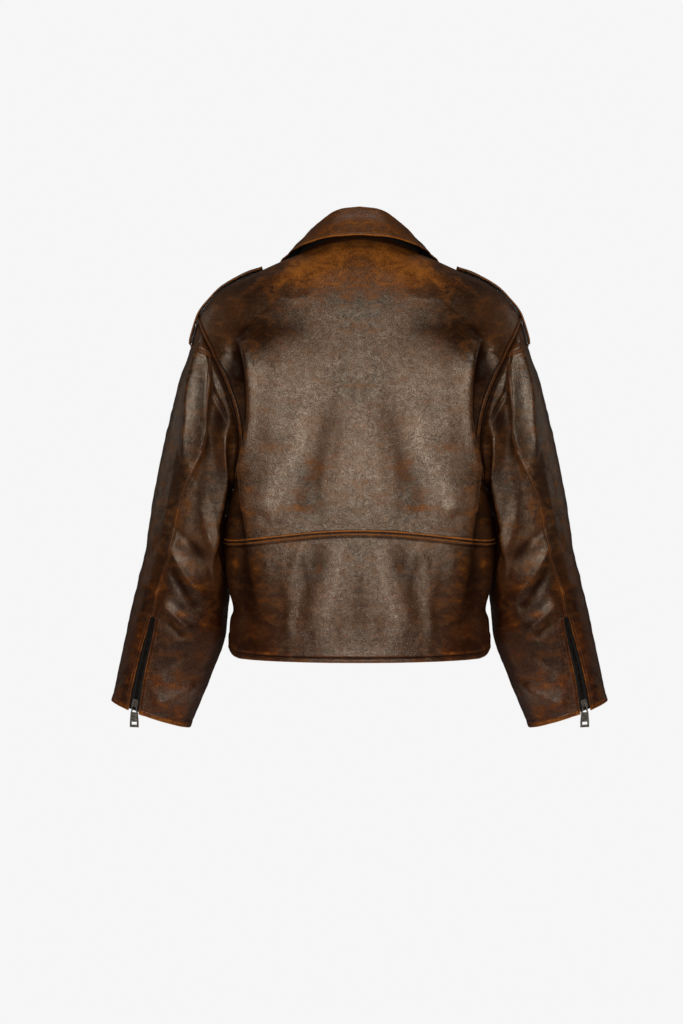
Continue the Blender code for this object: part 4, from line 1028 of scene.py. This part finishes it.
SLEEVE_SHADES = (       # columns as in SLEEVE_RUBS: painted shade above 0, painted highlight below
    (90, 0.2, 16, 0.16, 0.4), (98, 0.52, 14, 0.26, 0.55), (102, 1.6, 9, 1.1, 0.5),
    (104, 3.6, 10, 1.7, 0.42), (90, 5.78, 16, 0.2, -0.45), (90, 7.38, 14, 0.18, -0.4),
    (116, 10.05, 16, 0.3, -0.42),
)
SLEEVE_SHADOWS = (      # bands written as folds are: painted shade above 0, painted highlight below
    (-0.26, 9, 9, ((58, 0.4), (58, 0.78), (62, 1.06), (68, 1.49), (69, 2.17), (73, 2.54),
                   (77, 2.91), (78, 3.2))),
    (-0.5, 5, 5, ((107, 0.44), (111, 0.58), (121, 0.83), (130, 1.38), (138, 2.09), (139, 2.7))),
    (-0.5, 5, 6, ((62, 0.14), (68, 0.26), (78, 0.4), (84, 0.48))),
    (0.34, 9, 10, ((120, 2.6), (126, 3.22), (130, 3.68), (130, 4.29), (126, 4.92), (120, 5.3))),
    (0.3, 10, 12, ((88, 5.3), (100, 5.36), (112, 5.2), (120, 5))),
    (0.22, 9, 9, ((84, 7.46), (95, 7.3), (106, 7.35))),
    (-0.22, 8, 9, ((77, 5.53), (89, 5.71), (98, 5.95), (107, 6.27), (114, 6.46))),
    (-0.16, 8, 8, ((66, 7.52), (75, 7.29), (83, 6.95), (91, 6.69))),
)


def sleeve_height(angle, ring):
    """Folds and small waves of a sleeve, in millimetres."""
    turned = (angle + 180) % 360 - 180
    total = sum(fold_heights(turned + shift, ring, SLEEVE_FOLDS, SLEEVE_MM)
                for shift in (-360, 0, 360))
    x, y, z = np.moveaxis(sleeve_curve(angle, ring), -1, 0)
    waves = sum(size * ripples(x, y, z, wave, seed)
                for size, wave, seed in ((0.55, 0.06, 13), (0.3, 0.026, 14), (0.12, 0.012, 15)))
    return (total + waves) * smooth(0.0, 0.16, ring) * (1 - 0.6 * smooth(10.4, 10.9, ring))


def sleeve_marks(angle, ring):
    """Wear and painted shade of a sleeve: rubbed towards the cuff; painted shade on the side that
    faces the body and below the elbow, and painted shade and highlight in spots and bands.
    """
    turned = (angle + 180) % 360 - 180
    wear = blobs(turned, ring, SLEEVE_RUBS) + 0.1 * smooth(4.5, 6.5, ring)
    # painted shade on the inner side of the arm, where it faces the body, less towards the cuff
    dark = 0.95 * smooth(138, 156, np.abs(turned)) * smooth(0.2, 1.0, ring)
    dark *= 1 - 0.7 * smooth(5.5, 8.0, ring)
    # painted shade below the elbow
    dark += 0.44 * smooth(4.4, 6.4, ring) * (1 - 0.4 * smooth(8.6, 10.2, ring))
    dark += blobs(turned, ring, SLEEVE_SHADES)
    dark += fold_heights(turned, ring, SLEEVE_SHADOWS, SLEEVE_MM)
    return wear, dark


def joint(row, side):
    """For a row of the top (side -1) or under panel (side 1): how far it has turned from the
    armhole's layout (0) to the sleeve's own (1), and its angles at the front and back seam."""
    low = np.maximum(row, CAP_END)
    part = np.clip((row - cap_edge(CAP_TURN)) / (CAP_END - cap_edge(CAP_TURN)), 0, 1)
    table = read_rows(SLEEVE, low)
    return part, table[..., 7], table[..., 6] + side * slot_turn(low)


def top_layout(share, row):
    """Angle and ring of the sleeve's top panel."""
    cap = CAP_TURN * (2 * share - 1)
    part, first, last = joint(row, -1)
    angle = (1 - part) * cap + part * (first + (last - first) * share)
    return angle, np.where(row >= CAP_END, row, (1 - part) * cap_edge(cap) + part * CAP_END)


def under_layout(share, row):
    """Angle and ring of the sleeve's under panel."""
    rim = CAP_TURN + 2 * (180 - CAP_TURN) * share
    part, last, first = joint(row, 1)
    return (1 - part) * rim + part * (first + (360 + last - first) * share), row + 0 * share


def cap_layout(share, row):
    """Angle and ring of the sleeve cap; row runs 0 to 1 down it."""
    angle = CAP_TURN * (2 * share - 1)
    return angle, row * cap_edge(angle)


def make_sleeves():
    """Cap, top and under panel of each sleeve; the zip's slot is open between the last two."""
    made = {}
    zip_rows = (CAP_END, ZIP_TOP - 0.02, ZIP_TOP, ZIP_TOP + 0.06)
    for name, layout, first, last, pitches, keep, seams in (
            ("sleeve_cap", cap_layout, 0.0, 1.0, (0.0026, 0.003), (),
             (("end", SEAM_LINE), ("end", SLEEVE_LINE))),
            ("sleeve_top", top_layout, float(cap_edge(CAP_TURN)), CUFF, (0.0028, 0.0028),
             zip_rows, (("right", SEAM_LINE), ("right", SLEEVE_LINE), ("end", CUFF_LINE),
                        ("left", SEAM_LINE))),
            ("sleeve_under", under_layout, 0.0, CUFF, (0.0028, 0.0028), zip_rows,
             (("left", SEAM_LINE), ("end", CUFF_LINE)))):
        def place(share, row):
            return sleeve_curve(*layout(share, row))

        width = travelled(place(np.linspace(0, 1, 101), np.full(101, (first + last) / 2)))[-1]
        angle, ring = layout(*net(place, first, last, width, *pitches, keep))
        points, facing = sleeve_curve(angle, ring), sleeve_normal(angle, ring)
        left, right, start, end = insets(points)
        pucker = ripples(*np.moveaxis(points, -1, 0), 0.015, 17)
        height = sleeve_height(angle, ring)
        height += 0.32 * pucker * (bell(left, 10) + bell(right, 10) + bell(end, 12))
        wear, dark = sleeve_marks(angle, ring)
        inward, joined = facing, ("start", "left", "right")
        if name != "sleeve_top":
            height -= 3.0 * bell(start - 3.5, 3.5) * smooth(-0.6, 3.0, start)
            # painted shade beside the armhole seam
            dark += 0.9 * bell(start, 3.6)
            inward = blend_rim(facing, armhole_normal(angle), start)
        if name == "sleeve_cap":
            height += 0.5 * bell(end, 2.5) + groove(end, 5.0, 0.6)
            wear += 0.4 * bell(end, 1.4)
            # painted shade at the cap's top, beside the armhole
            dark += 0.7 * bell(start, 3.0)
            joined += ("end",)
        else:
            by_zip = smooth(ZIP_TOP - 0.3, ZIP_TOP + 0.1, ring)
            slot = right if name == "sleeve_top" else left
            height += (band(slot, 8.5, 0.8) + groove(slot, 2.0, 0.45) + groove(slot, 7.4, 0.6)
                       ) * by_zip
            height += band(end, 9.0, 0.8) + groove(end, CUFF_LINE, 0.7)
            wear += 1.1 * bell(end, 1.5) + 0.4 * bell(end - 4.6, 2.4)
        if name == "sleeve_top":
            height += (band(right, 6.0, 0.7) + groove(right, SLEEVE_LINE, 0.6)) * (1 - by_zip)
            height += groove(start, 3.5, 0.5) - 0.2 * bell(start, 2.0) + band(left, 6.0, 0.6)
            wear += (0.3 + 0.15 * by_zip) * bell(right, 1.2)
            wear += 0.15 * by_zip * bell(right - 4.6, 1.5)
            # painted shade along the back seam's stitch groove
            dark += 0.5 * bell(right - SLEEVE_LINE, 0.8) * (1 - by_zip)
        elif name == "sleeve_under":
            wear += (0.15 + 0.45 * by_zip) * bell(left, 1.2)
            wear += 0.25 * by_zip * bell(left - 4.6, 1.6)
            # painted shade beside the armhole seam
            dark += 0.8 * bell(start, 5.0)
        made.update(sew([(name + "_left", 1), (name + "_right", -1)], points, facing,
                        (height, wear, dark), [(*seam, (4, 3), EVERY) for seam in seams],
                        joined, inward))
    return made


def make_collar():
    """One fold-over collar, two layers sewn back to back, open at the front. Its points are
    read from a close net of its face, by blending the four nearest ones."""
    rows, columns = 240, 320
    close = collar_face(np.linspace(-8, 8, columns + 1), np.linspace(0, 6, rows + 1))

    def place(share, row):
        u = np.clip(share * columns, 0, columns - 0.001)
        v = np.clip(row / 6 * rows, 0, rows - 0.001)
        i, j = v.astype(int), u.astype(int)
        s, t = (v - i)[..., None], (u - j)[..., None]
        return ((close[i, j] * (1 - t) + close[i, j + 1] * t) * (1 - s)
                + (close[i + 1, j] * (1 - t) + close[i + 1, j + 1] * t) * s)

    shares, row = net(place, 0.0, 6.0, 0.62, 0.0022, 0.0032)
    points = place(shares, row)
    down = [place(shares, np.clip(row + way, 0, 6)) for way in (-0.016, 0.016)]
    round_neck = [place(np.clip(shares + way, 0, 1), row) for way in (-0.001, 0.001)]
    facing = unit(np.cross(round_neck[1] - round_neck[0], down[1] - down[0]))
    left, right, start, end = insets(points)
    x, y, z = np.abs(points[..., 0]), points[..., 1], points[..., 2]
    ends = np.minimum(left, right)
    height = 0.5 * ripples(x, y, z, 0.05, 21) + 0.2 * ripples(x, y, z, 0.018, 22)
    height *= smooth(0, 8, start)
    height += 0.35 * bell(end, 3.0) + groove(end, COLLAR_LINE, 0.6)
    height += groove(ends, COLLAR_LINE, 0.6)
    height += 0.25 * ripples(x, y, z, 0.014, 23) * bell(end, 9)
    wear = 0.4 + 0.5 * bell(end, 1.6) + 0.5 * bell(ends, 1.6) + 0.22 * bell(row - 3.2, 0.35)
    # painted shade on the stand, in under the fold of the leaf
    dark = 0.9 * (1 - smooth(1.2, 2.6, row))
    return sew([("collar", 1)], points, facing, (height, wear, dark),
               [("end", COLLAR_LINE, (3, 3), EVERY)], thickness=COLLAR_THICK, edge=(1.2, 0.8))


def make_epaulettes():
    """A strap on each shoulder, sewn in at the sleeve cap, with a rounded free end."""
    last, bend = 11, 10.3       # the strap's last row, and where its rows close up to it
    length = np.concatenate([
        lines(0.165, 0.0028, end=False) * bend,
        bend + (last - bend) * np.sin(np.linspace(0.05, 1, 14) * math.pi / 2)])
    rows = read_rows(STRAP, length)
    point = np.clip((length / last - 1 + STRAP_POINT) / STRAP_POINT, 0, 0.999)
    half = rows[:, 2] * np.sqrt(1 - point ** 2)
    share = lines(0.044, 0.0026) * 2 - 1
    along = np.gradient(rows[:, :2], axis=0)
    out = -unit(np.stack([-along[:, 1], np.zeros(len(along)), along[:, 0]], axis=1))
    middle = np.stack([rows[:, 0], np.zeros(len(rows)), rows[:, 1]], axis=1)
    drop = rows[:, None, 3:4] * share[None, :, None] ** 2
    points = middle[:, None, :] - out[:, None, :] * drop
    points[..., 1] = half[:, None] * share[None, :]
    facing = np.broadcast_to(out[:, None, :], points.shape).copy()
    left, right, _, end = insets(points)
    edge = np.minimum(np.minimum(left, right), end)
    height = 0.3 * ripples(*np.moveaxis(points, -1, 0), 0.04, 31)
    height += groove(edge, STRAP_LINE, 0.5)
    height += 0.25 * bell(edge, 2.5)
    wear = 0.55 * bell(edge, 1.5)
    return sew([("epaulette_left", 1), ("epaulette_right", -1)], points, facing,
               (height, wear, 0 * wear),
               [(side, STRAP_LINE, (4, 12), EVERY) for side in ("left", "right")],
               thickness=STRAP_THICK, edge=(1.2, 0.8))


# ---------------------------------------------------------------------------------------
# Zips
# ---------------------------------------------------------------------------------------
TOOTH_PITCH, TOOTH_WIDE, TOOTH_LONG, TOOTH_HIGH = 0.0021, 0.0032, 0.0013, 0.0016
TOOTH_LOW, TOOTH_SHIFT = -0.0004, 0.0009


def teeth(name, line, up, hand=1):
    """Two interlocked rows of teeth along a line: small blocks with a rounded top, each
    row's teeth between the other's."""
    half = TOOTH_WIDE / 2
    profile = [(half, TOOTH_LOW), (half, TOOTH_HIGH * 0.6), (half * 0.55, TOOTH_HIGH)]
    profile = [(-across, high) for across, high in profile] + profile[::-1]
    shape = np.array([(end * TOOTH_LONG / 2, *corner) for end in (-1, 1) for corner in profile])
    made = set_along(name, shape, TEETH_FINISH, [(line, up)], hand, TOOTH_PITCH / 2,
                     beside=TOOTH_SHIFT)
    made.data.polygons.foreach_set("use_smooth", np.zeros(len(made.data.polygons), bool))
    return made


def make_zips():
    """Rows of teeth on the three tapes."""
    ring = np.linspace(ZIP_TOP + 0.06, CUFF - 0.1, 90)
    angle = read_rows(SLEEVE, ring)[:, 6]
    facing = sleeve_normal(angle, ring)
    line = sleeve_curve(angle, ring) - facing * TAPE_DEPTH
    down = np.linspace(NECK + 0.12, HEM - 0.12, 160)
    ahead = body_normal(-1, 0 * down, down)
    front = body_curve(-1, 0 * down, down) - ahead * TAPE_DEPTH
    return [teeth("cuff_zip_teeth_left", line, facing),
            teeth("cuff_zip_teeth_right", line, facing, -1),
            teeth("front_zip_teeth", front, ahead)]


# ---------------------------------------------------------------------------------------
# Everything together
# ---------------------------------------------------------------------------------------
LEATHER_FINISH, LINING_FINISH = worn_leather(), lining()
TAPE_FINISH, THREAD_FINISH = woven_tape(), waxed_thread()
METAL_FINISH = plated("worn_gunmetal_zinc", "#827d76", "#aea79e")
TEETH_FINISH = plated("blackened_brass", "#24211e", "#3d3833")

panels = {}
for group in (make_back(), make_fronts(), make_sleeves(), make_collar(), make_epaulettes()):
    panels.update(group)
for name, (piece, thread) in panels.items():
    for part in (piece, thread):
        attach(part, "jacket")
    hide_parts(name)

for piece in make_zips():
    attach(piece, "jacket")

for name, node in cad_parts.items():
    if name not in panels:
        finish = TAPE_FINISH if "tape" in name else METAL_FINISH
        for k in range(max(1, len(node.material_slots))):
            if not node.material_slots:
                node.data.materials.append(finish)
            node.material_slots[k].material = finish

# ---------------------------------------------------------------------------------------
# Studio: a white sweep, a pale floor well below the jacket, soft lights and the camera
# ---------------------------------------------------------------------------------------
def softbox(name, place, aim, wide, high, watts, colour="#ffffff"):
    """A rectangular area light at place that faces aim."""
    data = bpy.data.lights.new(name, "AREA")
    data.shape, data.size, data.size_y, data.energy = "RECTANGLE", wide, high, watts
    data.color = linear(colour)[:3]
    light = bpy.data.objects.new(name, data)
    bpy.context.scene.collection.objects.link(light)
    light.location = place
    light.rotation_euler = (Vector(aim) - Vector(place)).to_track_quat("-Z", "Y").to_euler()


def set_world(seen, light):
    """Even surroundings: a pale sweep where they are seen, and a dim fill where they light."""
    world = bpy.data.worlds.new("studio")
    bpy.context.scene.world = world
    world.use_nodes = True
    tree = world.node_tree
    tree.nodes.clear()
    both = add(tree, "MixShader", [
        add(tree, "LightPath", out="Is Camera Ray"),
        add(tree, "Background", {"Color": linear("#fff6ec"), "Strength": light}),
        add(tree, "Background", {"Color": (seen, seen, seen, 1.0), "Strength": 1.0})])
    add(tree, "OutputWorld", [both])


def set_studio():
    """Floor, lights and camera."""
    bpy.ops.mesh.primitive_plane_add(size=1, location=(0, 0, -1.8))
    floor = bpy.context.active_object
    floor.name = "floor"
    floor.scale = (4.4, 4.4, 1)
    made, tree, shader, _ = blank("pale_floor")
    plug(tree, shader, {"Base Color": linear("#e9e7e3"), "Roughness": 0.9})
    floor.data.materials.append(made)
    softbox("front_softbox", (0.0, 3.0, -0.09), (0, 0, -0.22), 1.8, 1.42, 51, "#fffaf4")
    softbox("top_softbox", (0.0, -0.4, 2.4), (0, 0, -0.2), 1.6, 1.0, 8)
    softbox("far_softbox", (0.0, -3.0, -0.08), (0, 0, -0.22), 1.0, 0.55, 32, "#fffaf4")
    softbox("floor_softbox", (0.0, 0.0, -1.35), (0, 0.001, -1.8), 3.6, 3.6, 7)
    for name, side in (("side_softbox_left", 1), ("side_softbox_right", -1)):
        softbox(name, (2.3 * side, -1.0, 0.35), (0, 0, -0.2), 0.8, 1.6, 3, "#fff4e6")
    set_world(0.922, 0.05)
    data = bpy.data.cameras.new("camera")
    camera = bpy.data.objects.new("camera", data)
    bpy.context.scene.collection.objects.link(camera)
    camera.location = (0.0, 2.6, -0.31)
    camera.rotation_euler = (math.pi / 2, 0, math.pi)
    data.lens = 63.98
    data.shift_x, data.shift_y = -18 / 1024, -33 / 1024
    bpy.context.scene.camera = camera
    bpy.context.scene.view_settings.view_transform = "Standard"


set_studio()
